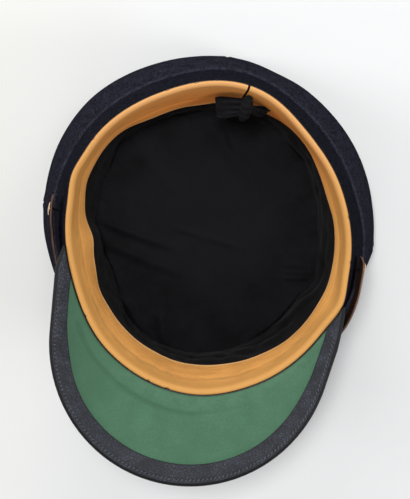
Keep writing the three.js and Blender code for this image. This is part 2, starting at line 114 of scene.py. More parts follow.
# Lengthwise creases pressed into the sweatband: their depth below the rim, how deep and wide they are, and
# the middle and reach of the stretch they run along.
SWEATBAND_CREASES = table(
    "drop depth width angle reach",
    (15, 0.35, 1.6, 272, 34),
    (21, 0.3, 1.3, 254, 26),
    (17, 0.3, 1.5, 96, 36),
    (24, 0.25, 1.4, 62, 28),
    (14, 0.25, 1.6, 10, 40),
    (20, 0.3, 1.8, 214, 30),
)

# Small notches that the rim's seam cuts into the folded leather, and how far in they reach.
NICK_REACH = 2 * MM
RIM_NICKS = table(
    "angle depth spread",
    (207, 0.7, 0.5),
    (196, 0.8, 0.6),
    (241, 0.6, 0.5),
    (110, 0.6, 0.6),
    (92, 0.5, 0.5),
    (349.5, 0.6, 0.5),
    (357, 0.8, 0.6),
    (314.5, 0.6, 0.5),
)

# Where the peak's binding is wider.
BINDING_SWELLS = table("angle depth spread", (-40, 1.9, 8), (43, 1.2, 8))

# Gathers of the lining's side: each pushes the cloth in towards the head, most at half its height.
LINING_GATHERS = table(
    "angle depth spread",
    (22, 2.4, 10),
    (58, 3.2, 12),
    (104, 2, 9),
    (141, 3, 10),
    (204, 2.2, 9),
    (246, 2.6, 8),
    (285, 3.4, 9),
    (322, 2.8, 10),
)

# Where the seam round the lining's tip swells out of its ellipse or is drawn in.
TIP_SWELLS = table(
    "angle depth spread",
    (79, 4, 7),
    (137, 2.5, 9),
    (180, -6, 13),
    (236, 4.5, 11),
    (303, -9.5, 22),
)

# Folds of the loose cloth of the lining's tip: where each starts and ends, how high it stands and how wide.
TIP_FOLDS = table(
    "x0 y0 x1 y1 height width",
    (-74, -19, -20, -27, 2.4, 3.2),
    (-68, -33, -12, -43, 2.2, 4),
    (-24, -13, 26, -17, 1, 2.6),
    (-14, 62, 24, 29, 2, 6),
    (-1, 67, 8, 44, -2.2, 4),
    (54, -23, 75, -20, 1, 1.7),
    (55, -28, 76, -24, 1, 1.6),
    (56, -32, 76, -28, 1.1, 1.7),
    (46, -80, 74, -42, 2.6, 4),
    (-21, -72, -12, -96, 2.4, 4),
    (-67, -40, -47, -66, 2, 3),
    (-46, -69, -30, -88, 2, 3),
    (34, 64, 56, 48, 2, 3),
    (-60, 36, -20, 8, 0.9, 5),
)

# Seams of the crown's side, where its cloth turns under: a ridge with a groove along its middle.
CROWN_SEAMS = table("angle ridge groove", (276.2, 0.9, 1), (92, 0.9, 1), (186, 0.5, 0.9))
SEAM_RIDGE = 2.2  # degrees over which a seam's ridge fades out
SEAM_GROOVE = 0.45  # and its groove

# Slow waves in stretched cloth: how many go round the cap, how tall they are and where they start.
CLOTH_WAVES = table("count height start", (5, 0.35, 20), (9, 0.22, 140), (14, 0.16, 65), (23, 0.08, 10))

# Where the crown's edge and the swell of its side stand out further or, most by the right button, less.
CROWN_SWELLS = table(
    "angle edge side spread",
    (68, 0, 3.2, 14),
    (82, -3.2, -1.5, 5),
    (105, -0.6, 0, 8),
    (167, -1, 0, 9),
    (273, -0.6, 0, 9),
)

# Crumples of the lining's side: how many arches go round the cap, how many more lie along the fall of the
# cloth, how tall they stand and where they start.
LINING_CRUMPLES = table(
    "count climb height start",
    (13, 0.6, 1.2, 12),
    (22, -1.1, 0.8, 70),
    (37, 1.7, 0.4, 33),
    (9, 2.3, 0.9, 5),
)

# The strap's place: off is how far its middle stands off the band, held by the buttons' shanks at the sides
# and close in at the front, and lean how far its lower edge lies out from its upper one.
STRAP_PLACE = table(
    "angle off lean",
    (-97, 3.6, 1.4),
    (-91, 6, 1.4),
    (-86, 5.6, 1.4),
    (-78, 4.7, 1.7),
    (-68, 4.6, 2.3),
    (-40, 2.8, 2.5),
    (0, 1.2, 2),
    (36, 3.2, 2),
    (66, 6.4, 0),
    (77, 4.4, -1),
    (86, 4.1, -1.4),
    (91, 4, -1.4),
    (97, 1.2, -1.4),
)

# The bow's two loops: how far each reaches from the knot, how wide its ribbon is, how thick it stands, how
# far its lower edge tilts off the leather, how far it turns down from level and how far its end rises.
BOW_LOOPS = table(
    "reach ribbon loft tilt turn rise",
    (-19.2, 13, 3.4, 50, 20, 8),
    (16, 8, 3.4, 15, 28, -14),
)

# The bow's place on the sweatband and the thickness of its ribbon, and the barrel of its knot.
BOW = {"angle": 175.4, "drop": 12.5 * MM, "off": 8.2 * MM, "layer": 0.5 * MM}
KNOT = {"radius": 4.4 * MM, "length": 19 * MM, "tilt": 45}
RIBBON_FLOW = (30, 17)  # grid steps to one unit of the ribbon's flow

# The sweatband's join: where its ends meet, how wide they gape, and how many degrees the join slants over a
# depth, fading out over its reach.
SWEATBAND_JOIN = {"angle": 176.5, "gap": 0.7 * MM, "slant": 1.3, "depth": 20 * MM, "reach": 24}
FOLD_END = 72  # degrees of the fold's ellipse at which it runs on into the sloping face
FOLD_SHARE = 0.18  # of the sweatband's flow that its fold takes up
FREE_EDGE_ROUND = 0.4 * MM  # how far the corner of its free edge is rounded off

# The crease in the peak's green lining: its distance up the slope in the middle and the angle at which it
# would meet the rim, the angles over which it fades out, its depth and width, and those of the roll by it.
PEAK_CREASE = {
    "along": 12 * MM,
    "meets": 62,
    "left": (-58, -44),
    "right": (42, 4),
    "depth": 0.5 * MM,
    "width": 1.4 * MM,
    "roll_height": 0.5 * MM,
    "roll_width": 4 * MM,
}
GREEN_LIMIT = 0.25 * MM  # the highest that the green lining stands, so that it stays under the binding

# Where the green lining starts up the slope, and how deep and how far it sinks into the rim's seam.
PEAK_SEAM = {"start": 0.1 * MM, "depth": 0.7 * MM, "width": 0.9 * MM}

# The binding's stitches: their distance from the peak's edge, how far each slants to either side of that
# line, their thickness, and the depth and width of the groove that they pull into the leather.
STITCH = {"inset": 3.6 * MM, "slant": 0.7 * MM, "thick": 0.4 * MM, "pull": 0.3 * MM, "groove": 0.8 * MM}
BINDING_NOSE = 2.4 * MM  # length of the binding's round edge
BINDING_PUFF = 0.3 * MM  # how far its faces swell

# The strap's ends, how round and how blunt they are, where its rounded edges start as a share of its half
# width, and the line pressed inside each edge.
STRAP = {"from": -92.2, "to": 93.2, "end_round": 7 * MM, "blunt": 0.4 * MM, "border": 0.9}
STRAP_LINE = {"at": 0.74, "width": 0.035, "depth": 0.2 * MM}

BUTTON_ANGLES = {"button_left": -87.3, "button_right": 88.9}
BUTTON_EDGE = 0.3 * MM  # height of the short edge under the dome

LINING_TOP = 8 * MM  # depth of the lining's hidden upper edge below the rim
LINING_ROOM = 0.8 * MM  # room between the sweatband's free edge and the lining
TIP_SAG = 2.6 * MM  # how high the loose cloth of the tip stands

BAND_SHADE_GAIN = 0.65  # how much darker the band's wool is painted than the crown's: painted shade
WELT_HIGHLIGHT_GAIN = 1.65  # and how much paler the welt, a painted highlight along its ridge

# Soft lights round the cap: their turn round from the front, their rise above the floor, their size in
# metres and how strongly each lights a surface that faces it.
LIGHT_DISTANCE = 2.0
LIGHTS = table(
    "turn rise size share",
    (201, 75, 0.4, 0.62),
    (195, 14, 0.7, 0.46),
    (268, 27, 0.7, 0.36),
    (85, 28, 0.7, 0.34),
    (140, 45, 0.7, 0.08),
    (0, 24, 0.7, 0.06),
)
SKY_COLOUR = (0.97, 0.98, 1.0, 1.0)
FLOOR_REACH = 4.0

# The picture's size in pixels, and where the rim's middle falls in it.
PICTURE = {"width": 410, "height": 499, "rim_x": 207.5, "rim_y": 237.9}


def number(name, description, default):
    """A plain number in the sidebar."""
    return FloatProperty(name=name, description=description, default=default)


def length(name, description, size):
    """A length in the sidebar, in metres."""
    return FloatProperty(
        name=name, description=description, default=size, min=0.0, unit="LENGTH", precision=4
    )


def turn(name, description, degrees):
    """An angle in the sidebar."""
    return FloatProperty(name=name, description=description, default=math.radians(degrees), subtype="ANGLE")


def colour(name, description, default):
    """A colour in the sidebar."""
    return FloatVectorProperty(
        name=name, description=description, default=default, size=3, min=0.0, max=1.0, subtype="COLOR"
    )


class CapSizes(PropertyGroup):
    """Sizes of the cap's pieces."""

    rim_height: length("Rim height", "Height of the rim above the crown's face, on the axis", 0.087)
    rim_tilt: number("Rim tilt", "Rise of the rim towards the front", 0.092)
    wool: length("Wool", "Thickness of the crown's cloth", 0.002)
    band_wall: length("Band", "Thickness of the band with its stiffener", 0.0024)
    band_drop: length("Band drop", "Rim to the middle of the welt", 0.0417)
    band_top: length("Band edge", "Depth of the band's edge under the folded leather", 0.002)
    welt_radius: length("Welt radius", "Radius of the welt between crown and band", 0.0012)
    crown_round: length("Crown margin", "Width of the rounded margin of the crown's top panel", 0.009)
    crown_bulge: length("Crown bulge", "How far the crown's side swells", 0.003)
    leather: length("Leather", "Thickness of the sweatband", 0.0012)
    sweatband_drop: length("Sweatband drop", "Rim to the sweatband's free edge", 0.037)
    fold_lip: length("Fold lip", "Outer edge of the sweatband's fold to its crest", 0.0013)
    fold_lip_drop: length("Fold lip drop", "Depth of the fold's outer edge below its crest", 0.0011)
    fold_width: length("Fold width", "Crest of the fold to the sweatband's face", 0.003)
    fold_drop: length("Fold drop", "Depth where the fold ends and the leather falls straight", 0.004)
    belly: length("Belly", "How far the sweatband's face swells between fold and free edge", 0.001)
    lining: length("Lining", "Thickness of the lining", 0.001)
    peak_slope: turn("Peak slope", "Rise of the peak from the rim's plane", 22)
    peak_lining: length("Peak lining", "Thickness of the peak's green lining", 0.001)
    peak_board: length("Peak board", "Thickness of the peak's board and outer leather", 0.0013)
    peak_edge: length("Peak edge", "Radius of the peak's round front edge", 0.0878)
    peak_flare: turn("Peak flare", "Spread of the peak's straight sides", 7)
    binding: length("Binding", "Thickness of the binding's leather", 0.001)
    binding_width: length("Binding width", "Widest stretch of the binding", 0.0135)
    stitch_pitch: length("Stitch pitch", "Distance from stitch to stitch on the binding", 0.0026)
    strap_width: length("Strap width", "Width of the chin strap", 0.014)
    strap_thickness: length("Strap thickness", "Thickness of the chin strap", 0.0014)
    strap_drop: length("Strap drop", "Rim to the middle of the strap", 0.014)
    button_radius: length("Button radius", "Radius of the side buttons", 0.0042)
    button_height: length("Button height", "Height of the buttons' domes", 0.0012)
    shank_radius: length("Shank radius", "Radius of the buttons' shanks", 0.0009)


class CapColours(PropertyGroup):
    """Colours of the cap's materials."""

    wool: colour("Wool", "Navy cloth of the crown and band", (0.0138, 0.0139, 0.0206))
    tan: colour("Sweatband", "Tan leather", (0.64, 0.325, 0.09))
    lining: colour("Lining", "Black lining cloth", (0.0042, 0.0042, 0.0058))
    green: colour("Peak lining", "Green leather under the peak", (0.0495, 0.126, 0.072))
    binding: colour("Binding", "Slate leather round the peak's edge", (0.0155, 0.0172, 0.0235))
    peak: colour("Peak", "Black leather of the peak's outer face", (0.009, 0.009, 0.0105))
    thread: colour("Thread", "Sewing thread on the binding", (0.033, 0.037, 0.048))
    strap: colour("Chin strap", "Brown strap leather", (0.041, 0.018, 0.008))
    strap_edge: colour("Strap edge", "Paler cut edge of the strap", (0.112, 0.06, 0.043))
    brass: colour("Buttons", "Brass", (0.74, 0.5, 0.3))
    ribbon: colour("Bow", "Black ribbon", (0.0024, 0.0027, 0.0042))
    floor: colour("Floor", "Pale studio floor", (0.72, 0.722, 0.724))


class CapStage(PropertyGroup):
    """The camera and the light."""

    lean: turn("Lean", "Camera's lean to the back", 11)
    side: turn("Side", "Camera's lean to the side", -0.6)
    turn: turn("Turn", "Turn of the picture", 12)
    distance: length("Distance", "Camera to the rim's plane", 0.9)
    focal: number("Focal length", "Focal length in pixels of the picture", 1448)
    lamps: number("Soft lights", "Strength of the soft lights", 1.0)
    sky: number("Fill light", "Strength of the light from all round", 0.26)


def around(column, angle):
    """A column of PLAN at any angle, in metres: a closed Catmull-Rom curve through its rows."""
    rows = PLAN[column] * MM
    place = np.mod(angle, 360) * len(rows) / 360
    first = np.floor(place).astype(int)
    t = place - first
    a, b, c, d = (rows[(first + k) % len(rows)] for k in (-1, 0, 1, 2))
    return b + 0.5 * t * (c - a + t * (2 * a - 5 * b + 4 * c - d + t * (3 * (b - c) + d - a)))


def between(rows, column, angle):
    """A column of an open table at any angle, in metres, easing from row to row."""
    angles = rows["angle"]
    after = np.clip(np.searchsorted(angles, angle, side="right"), 1, len(angles) - 1)
    share = smooth(angle, angles[after - 1], angles[after])
    return MM * blend(rows[column][after - 1], rows[column][after], share)


def apart(angle, other):
    """The turn from other to angle, from -180 to 180 degrees."""
    return np.mod(angle - other + 180, 360) - 180


def bumps(rows, angle, column="depth"):
    """The sum of a column's bumps at an angle, in metres: each fades out as a bell curve over its spread."""
    share = apart(np.asarray(angle)[..., None], rows["angle"]) / rows["spread"]
    return MM * (rows[column] * np.exp(-(share**2))).sum(-1)


def waves(rows, angle, shift=0.0):
    """The sum of a table's waves at an angle, in metres; shift turns them."""
    turn = np.radians((np.asarray(angle)[..., None] + shift) * rows["count"] + rows["start"])
    return MM * (rows["height"] * np.sin(turn)).sum(-1)


def smooth(value, low, high):
    """Eases from 0 at low to 1 at high."""
    t = np.clip((value - low) / (high - low), 0, 1)
    return t * t * (3 - 2 * t)


def blend(a, b, share):
    """The straight mix of a and b."""
    return a + (b - a) * share


def bell(value):
    """The bell curve: 1 at 0, fading out by 2."""
    return np.exp(-(value**2))


def point(angle, radius, z):
    """Points at an angle from the front, a distance from the axis and a height; x, y and z come last."""
    turn = np.radians(angle)
    return np.stack(np.broadcast_arrays(radius * np.sin(turn), -radius * np.cos(turn), z), -1)


class Form:
    """Where the cap's faces lie. An angle is in degrees round from the front, a drop is a depth below the
    rim."""

    TIP = (-1.5 * MM, -12.5 * MM, 76.5 * MM, 84.5 * MM)  # middle and half sizes of the lining's tip
    FOLD_EDGE = 0.1 * MM  # the fold's outer edge inside the rim
    PEAK_MIDDLE = np.array((3.3 * MM, -64.4 * MM))  # centre of its round front
    PEAK_HALF_ANGLE = 73.5
    PEAK_CORNER = 2 * MM  # length of the peak at its corners
    PEAK_TAPER = 0.95 * MM  # how much longer it is for each degree from there
    PEAK_TAPER_SPAN = 15  # degrees over which it is cut short
    BINDING_CORNER = 9.5 * MM  # width of the binding where the peak's length runs out
    BINDING_GAIN = 0.09  # how much wider it is for a length of the peak

    def __init__(self, sizes):
        self.sizes = sizes

    def rim(self, angle):
        """Distance from the axis to the rim's outer edge."""
        return around("rim", angle) + bumps(RIM_SWELLS, angle)

    def rim_z(self, angle):
        """The rim's plane rises towards the front."""
        s = self.sizes
        return s.rim_height + s.rim_tilt * self.rim(angle) * np.cos(np.radians(angle))

    def band_face(self, angle, drop):
        """The band's outer face spreads evenly from the rim down to the welt."""
        welt = around("rim", angle) + around("flare", angle)
        return blend(self.rim(angle), welt, drop / self.sizes.band_drop)

    def crown_edge(self, angle):
        """Distance from the axis to the seam round the crown's top panel."""
        return around("crown", angle) + bumps(CROWN_SWELLS, angle, "edge")

    def free_edge(self, angle):
        """Distance from the axis to the sweatband's free edge."""
        return around("rim", angle) - around("lean", angle) - bumps(SWEATBAND_DENTS, angle)

    def fold_in(self):
        """Width of the sweatband's whole fold."""
        return self.FOLD_EDGE + self.sizes.fold_lip + self.sizes.fold_width

    def sweatband_face(self, angle, drop):
        """The sweatband's inner face leans in evenly from its fold to its free edge."""
        sizes = self.sizes
        share = (drop - sizes.fold_drop) / (sizes.sweatband_drop - sizes.fold_drop)
        return blend(self.rim(angle) - self.fold_in(), self.free_edge(angle), share)

    def tip_seam(self, angle, z, margin=0.0):
        """The seam of the lining's tip: an ellipse with a few swells, moved out by a margin."""
        x, y, half_width, half_length = self.TIP
        grow = margin + bumps(TIP_SWELLS, angle)
        turn = np.radians(angle)
        across = x + (half_width + grow) * np.sin(turn)
        along = y - (half_length + grow) * np.cos(turn)
        return np.stack(np.broadcast_arrays(across, along, z), -1)

    def peak_length(self, angle):
        """Length of the peak's slope from the rim to its edge: a round front, then straight sides that
        spread as they run back, cut short towards the corners."""
        turn = np.radians(angle)
        along = np.stack((np.sin(turn), -np.cos(turn)), -1)
        centre = self.PEAK_MIDDLE
        radius = self.sizes.peak_edge
        flare = self.sizes.peak_flare
        middle = along @ centre
        round_front = middle + np.sqrt(middle**2 - centre @ centre + radius**2)
        side = np.where(angle < 0, -math.cos(flare), math.cos(flare))
        facing = np.stack((side, np.full(side.shape, -math.sin(flare))), -1)
        straight = (facing @ centre + radius) / (facing * along).sum(-1)
        behind = round_front * along[..., 1] > centre[1] - radius * math.sin(flare)
        reach = np.where(behind, straight, round_front)
        slope = (reach - self.rim(angle) - GAP) / math.cos(self.sizes.peak_slope)
        from_corner = self.PEAK_HALF_ANGLE - np.abs(angle)
        cut = np.minimum(slope, self.PEAK_CORNER + self.PEAK_TAPER * from_corner)
        return np.where(from_corner > self.PEAK_TAPER_SPAN, slope, cut)

    def peak_point(self, angle, along, height):
        """A point of the peak: along is the distance up its slope, height that above its green face."""
        slope = self.sizes.peak_slope
        out = along * math.cos(slope) - height * math.sin(slope)
        up = along * math.sin(slope) + height * math.cos(slope)
        return point(angle, self.rim(angle) + GAP + out, self.rim_z(angle) + up)

    def binding_start(self, angle):
        """Where the binding's inner edge lies up the peak's slope: it narrows towards the corners."""
        reach = self.peak_length(angle)
        plain = np.minimum(self.sizes.binding_width, self.BINDING_CORNER + self.BINDING_GAIN * reach)
        width = plain + bumps(BINDING_SWELLS, angle)
        return reach - np.minimum(width, reach - GAP)

    def strap_face(self, angle, below):
        """The strap's inner face at a distance below its middle: it stands off the band and leans out
        downwards."""
        sizes = self.sizes
        lean = between(STRAP_PLACE, "lean", angle) / sizes.strap_width
        return self.band_face(angle, sizes.strap_drop) + between(STRAP_PLACE, "off", angle) + lean * below


def ring(count):
    """Angles of the stations round a full ring, one to a row."""
    return np.arange(count)[:, None] * 360 / count


def circle(count):
    """Turns of the points round a full circle, in radians."""
    return np.radians(ring(count)[:, 0])


def stations(*stretches):
    """Stations along a line of stretches that follow on, each given by its start, end and count."""
    lines = [np.linspace(*stretch) for stretch in stretches]
    return np.concatenate([lines[0], *(line[1:] for line in lines[1:])])


def lattice(rows, columns, ring_rows=False, ring_columns=False):
    """Quads of a grid of points, and the grid place of each corner. A ring joins its last line to its
    first."""
    i, j = np.meshgrid(
        np.arange(rows - (not ring_rows)), np.arange(columns - (not ring_columns)), indexing="ij"
    )
    corners = np.array(((0, 0), (1, 0), (1, 1), (0, 1)))
    places = (np.stack((i, j), -1)[..., None, :] + corners).reshape(-1, 4, 2)
    faces = places[..., 0] % rows * columns + places[..., 1] % columns
    return faces, places


def loft(points, closed=False):
    """Faces of sections that are closed loops. An open loft's end sections are closed by quads that pair
    each point with the one facing it across the section."""
    rows, columns = points.shape[:2]
    faces, places = lattice(rows, columns, closed, True)
    if closed:
        return faces, places
    j = np.arange(columns // 2 - 1)
    strip = np.stack((j, j + 1, columns - 2 - j, columns - 1 - j), -1)
    ends = np.concatenate((strip[:, ::-1], strip + (rows - 1) * columns))
    rows_of_ends = np.stack((ends // columns, ends % columns), -1)
    return np.concatenate((faces, ends)), np.concatenate((places, rows_of_ends))


def outward(points, faces):
    """The faces, turned round if the volume that they close is negative."""
    a, b, c, d = (points[faces[:, k]] for k in range(4))
    volume = (a * np.cross(b, c)).sum() + (a * np.cross(c, d)).sum()
    return faces if volume > 0 else faces[:, ::-1]


def merged(shells):
    """Shells of points and faces as one: all the points, and the faces numbered on from shell to shell."""
    firsts = np.cumsum([0, *(len(points) for points, _ in shells)])
    points = np.concatenate([points for points, _ in shells])
    return points, np.concatenate([faces + first for (_, faces), first in zip(shells, firsts)])


def make_piece(name, points, faces, finish, node=None, flow=None, merge=False):
    """A mesh piece that rides on the cap and stands for its node, if it has one. flow is an array of u and v
    for each face's corners. merge joins the points that a pole or a fold brings together."""
    cloud = np.asarray(points, float).reshape(-1, 3)
    turned = outward(cloud, faces)
    mesh = bpy.data.meshes.new(name)
    mesh.from_pydata(cloud, [], turned)
    if flow is not None:
        corners = flow if turned is faces else flow[:, ::-1]
        layer = mesh.uv_layers.new(name="Flow")
        layer.uv.foreach_set("vector", np.ascontiguousarray(corners, np.float32).ravel())
    if merge:
        join_doubles(mesh)
    mesh.shade_smooth()
    mesh.set_sharp_from_angle(angle=math.radians(SHARP_EDGE))
    mesh.materials.append(finish)
    made = bpy.data.objects.new(name, mesh)
    bpy.context.scene.collection.objects.link(made)
    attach(made, "root")
    if node:
        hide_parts(node)
    return made


def join_doubles(mesh):
    """Merges points that lie together, such as the ends of a pole."""
    net = bmesh.new()
    net.from_mesh(mesh)
    bmesh.ops.remove_doubles(net, verts=net.verts, dist=DOUBLES)
    net.to_mesh(mesh)
    net.free()


def wall_piece(name, face, back, finish, node, closed=False, merge=False, flow=None):
    """A wall between two facing sheets of points. flow is u and v at each point of the face, shared by the
    back."""
    points = np.concatenate((face, back[:, ::-1]), 1)
    faces, places = loft(points, closed)
    if flow is not None:
        both = np.concatenate((flow, flow[:, ::-1]), 1)
        flow = both[places[..., 0], places[..., 1] % both.shape[1]]
    return make_piece(name, points, faces, finish, node, flow, merge)


def pairs(u, v):
    """The flow of a sheet from its u and v."""
    return np.stack(np.broadcast_arrays(u, v), -1)


def normals(sheet):
    """Unit normals of a sheet of points: the cross product of its slopes along rows and columns."""
    normal = np.cross(np.gradient(sheet, axis=0), np.gradient(sheet, axis=1))
    return normal / np.maximum(np.linalg.norm(normal, axis=-1, keepdims=True), 1e-12)


class Value:
    """A shader socket that takes part in arithmetic: each operator adds one Math node."""

    def __init__(self, finish, socket):
        self.finish = finish
        self.socket = socket

    def math(self, operation, a, b=0.0):
        """What a Math node makes of a and b."""
        return self.finish.node("Math", {"operation": operation}, {0: a, 1: b})

    def __add__(self, other):
        return self.math("ADD", self, other)

    def __sub__(self, other):
        return self.math("SUBTRACT", self, other)

    def __rsub__(self, other):
        return self.math("SUBTRACT", other, self)

    def __mul__(self, other):
        return self.math("MULTIPLY", self, other)

    def __abs__(self):
        return self.math("ABSOLUTE", self)

    __radd__ = __add__
    __rmul__ = __mul__


class Finish:
    """A material and the nodes that make it. The sockets given at the start are the same all over."""

    def __init__(self, name, **sockets):
        self.material = bpy.data.materials.new(name)
        self.material.use_nodes = True
        self.tree = self.material.node_tree
        self.shader = self.tree.nodes["Principled BSDF"]
        for key, value in sockets.items():
            self.set(key.replace("_", " ").title().replace("Ior", "IOR"), value)

    def set(self, socket, value):
        """Links a value to a socket of the shader, or sets it there."""
        self.join(self.shader.inputs[socket], value)

    def join(self, socket, value):
        """Links a value to any socket, or sets it there."""
        if isinstance(value, Value):
            self.tree.links.new(value.socket, socket)
        else:
            socket.default_value = value

    def node(self, kind, settings=None, sockets=None, output=0):
        """Adds a node: its settings first, then its sockets, each a number, a row of numbers or a value."""
        made = self.tree.nodes.new("ShaderNode" + kind)
        for name, value in (settings or {}).items():
            setattr(made, name, value)
        for name, value in (sockets or {}).items():
            self.join(made.inputs[name], value)
        return Value(self, made.outputs[output])

    def place(self):
        """The piece's own coordinates, in metres."""
        return self.node("TexCoord", output="Object")

    def flow(self):
        """The piece's flow map: how far along and how far across."""
        both = self.node("UVMap", {"uv_map": "Flow"})
        return self.axis(both, 0), self.axis(both, 1)

    def axis(self, vector, k):
        """The x, y or z of a vector, for k of 0, 1 or 2."""
        return self.node("SeparateXYZ", sockets={0: vector}, output=k)

    def vector(self, x, y):
        """A flat vector from its two coordinates."""
        return self.node("CombineXYZ", sockets={0: x, 1: y})

    def noise(self, place, scale, detail, rough, **sockets):
        """Noise from 0 to 1, about 0.5 in the mean."""
        given = {"Vector": place, "Scale": scale, "Detail": detail, "Roughness": rough, **sockets}
        return self.node("TexNoise", sockets=given)

    def threads(self, place, *scale):
        """Noise drawn out along the axes on which its scale is small."""
        drawn = self.node("Mapping", sockets={"Vector": place, "Scale": scale})
        return self.noise(drawn, 1.0, 2, 0.5)

    def cells(self, place, scale, feature="F1", output="Distance"):
        """Cells round scattered points: the distance to the nearest point or edge, or a random colour."""
        return self.node("TexVoronoi", {"feature": feature}, {"Vector": place, "Scale": scale}, output)

    def ease(self, value, low, high):
        """Eases from 0 at low to 1 at high; low may be the larger."""
        ranges = {"Value": value, "From Min": low, "From Max": high}
        return self.node("MapRange", {"interpolation_type": "SMOOTHSTEP"}, ranges)

    def mix(self, share, a, b):
        """The mix of two colours, each a socket or three numbers."""
        a, b = (c if isinstance(c, Value) else (*c, 1.0) for c in (a, b))
        return self.node("Mix", {"data_type": "RGBA"}, {0: share, 6: a, 7: b}, 2)

    def shades(self, share, base, dark, pale):
        """A colour that goes from a dark to a pale gain of its base."""
        return self.mix(share, tint(base, dark), tint(base, pale))

    def bump(self, height, strength, distance):
        """Raises the surface by a height from 0 to 1 times the distance."""
        sockets = {"Strength": strength, "Distance": distance, "Height": height}
        self.set("Normal", self.node("Bump", sockets=sockets))


def tint(base, gain, shift=(0.0, 0.0, 0.0)):
    """A colour made lighter or darker by a gain, then shifted."""
    return tuple(min(1.0, max(0.0, c * gain + s)) for c, s in zip(base, shift))


def wool_finish(name, base):
    """Fulled navy wool: a matt nap of short crossing fibres with a few specks of lint."""
    f = Finish(name, roughness=1.0, specular_ior_level=0.0)
    place = f.place()
    nap = f.noise(place, 260, 4, 0.6)
    fibre = f.noise(place, 1000, 2, 0.6, Distortion=1.0)
    cloth = f.shades(f.ease(nap * 0.25 + fibre * 0.75, 0.36, 0.64), base, 0.35, 1.65)
    near = f.ease(f.cells(place, 90), 0.05, 0.02)
    chosen = f.ease(f.node("SeparateColor", sockets={0: f.cells(place, 90, output="Color")}), 0.8, 0.82)
    f.set("Base Color", f.mix(near * chosen * 0.6, cloth, (0.3, 0.3, 0.32)))
    f.bump(fibre * 0.6 + nap * 0.4, 0.8, 0.0004)
    return f.material


def tan_finish(colours):
    """Tan sweatband leather: streaked along its length, with greyed stains along its middle. Painted shade
    darkens it over the fold and the upper face, and in a warmer, darker colour down the face, most at the
    back. Painted light makes it paler low on the face at the sides and the back, and a painted highlight
    lies on the fold at the back. The free edge is pale: its paler cut edge, with a painted highlight.
    Painted shadow runs in a thin line along the fold's outer edge and at the join's ends. The flow's u
    runs round from the join and its v down from the rim."""
    base = colours.tan
    f = Finish("Tan leather", specular_ior_level=0.16)
    u, v = f.flow()
    place = f.place()
    across, along = f.axis(place, 0), f.axis(place, 1)
    right = f.ease(across, 0.02, 0.085)
    back = f.ease(along, 0.01, 0.085)
    behind = f.ease(along, -0.055, 0.0)
    streak = f.noise(f.vector(u * 32, v * 9), 1.0, 6, 0.7, Distortion=0.8)
    mottle = f.noise(place, 60, 4, 0.6)
    grain = f.noise(place, 1100, 3, 0.7)
    tone = f.ease(streak * 0.5 + mottle * 0.25 + grain * 0.25, 0.37, 0.63)
    body = f.shades(tone, base, 0.8, 1.16)
    # painted shade: a darker, warmer colour down the face, most at the back
    painted_warm_shade = f.ease(v, 0.05, 0.5) * (0.2 + back * 0.75)
    body = f.mix(painted_warm_shade, body, tint(base, 0.8, (0.03, -0.065, -0.025)))
    # painted light: paler low on the face at the sides and the back
    painted_low_light = f.ease(v, 0.3, 0.7) * (0.1 + behind * (0.4 + right * 0.5))
    body = f.mix(painted_low_light, body, f.mix(back, tint(base, 1.5), tint(base, 1.35, (0.04, -0.1, -0.05))))
    # painted shade: darker over the fold and the upper face, warmer at the back
    shade = f.mix(back, tint(base, 0.72), tint(base, 0.82, (0.03, -0.05, -0.025)))
    body = f.mix(f.ease(v, 0.5, 0.2) * 0.8, body, shade)
    fold = f.ease(v, 0.3, 0.05)
    # painted shade over the fold
    body = f.mix(fold * 0.6, body, tint(base, 0.9, (0.0, -0.01, -0.004)))
    fade = f.ease(f.noise(f.vector(u * 22, v * 3), 1.0, 3, 0.6), 0.45, 0.6)
    wander = f.noise(f.vector(u * 12, v), 1.0, 4, 0.65) * 0.5
    stain = f.ease(abs(v + wander - 0.66), 0.09, 0.0) * fade
    body = f.mix(stain * 0.45, body, tint(base, 0.55, (-0.02, 0.02, 0.015)))
    # painted highlight: a paler, pinker fold at the back
    body = f.mix(fold * back * 0.4, body, tint(base, 1.1, (0.05, 0.08, 0.1)))
    # the pale free edge: its paler cut edge, with a painted highlight
    cut_edge_and_highlight = f.ease(v, 0.89, 0.94) * (0.5 + streak * 0.6)
    body = f.mix(cut_edge_and_highlight, body, tint(base, 1.2, (0.1, 0.14, 0.12)))
    # painted shadow: near black along the fold's outer edge and at the join's ends
    border = f.ease(v, 0.045, 0.015) * 0.9 + f.ease(abs(u - 0.5), 0.4991, 0.4996)
    f.set("Base Color", f.mix(border, body, (0.008, 0.004, 0.002)))
    f.set("Roughness", 0.5 + grain * 0.16)
    crinkle = f.noise(f.vector(u * 250, v * 12), 1.0, 2, 0.5) * fold
    f.bump(grain * 0.45 + streak * 0.5 + crinkle * 0.4 - stain * 0.4, 0.5, 0.0003)
    return f.material


def lining_finish(colours):
    """Black lining cloth: a fine plain weave, greyer where it is rubbed, with painted light in the middle of
    the crown.
    """
    base = colours.lining
    f = Finish(
        "Black lining", roughness=0.8, sheen_weight=0.02, sheen_roughness=0.4, specular_ior_level=0.14
    )
    place = f.place()
    x, y = f.axis(place, 0), f.axis(place, 1)
    # painted light: paler in the middle of the tip
    middle = f.ease(x * x + y * y, 0.0045, 0.0004)
    rubbed = f.noise(place, 45, 5, 0.65)
    warp = f.threads(place, 2600, 260, 260)
    weft = f.threads(place, 260, 2600, 260)
    tone = f.ease(rubbed * 0.6 + (warp + weft) * 0.2, 0.36, 0.64)
    cloth = f.shades(tone, base, 0.4, 1.2)
    f.set("Base Color", f.mix(middle * 0.6, cloth, tint(base, 1.8)))
    f.bump(warp * 0.5 + weft * 0.5, 0.5, 0.0002)
    return f.material


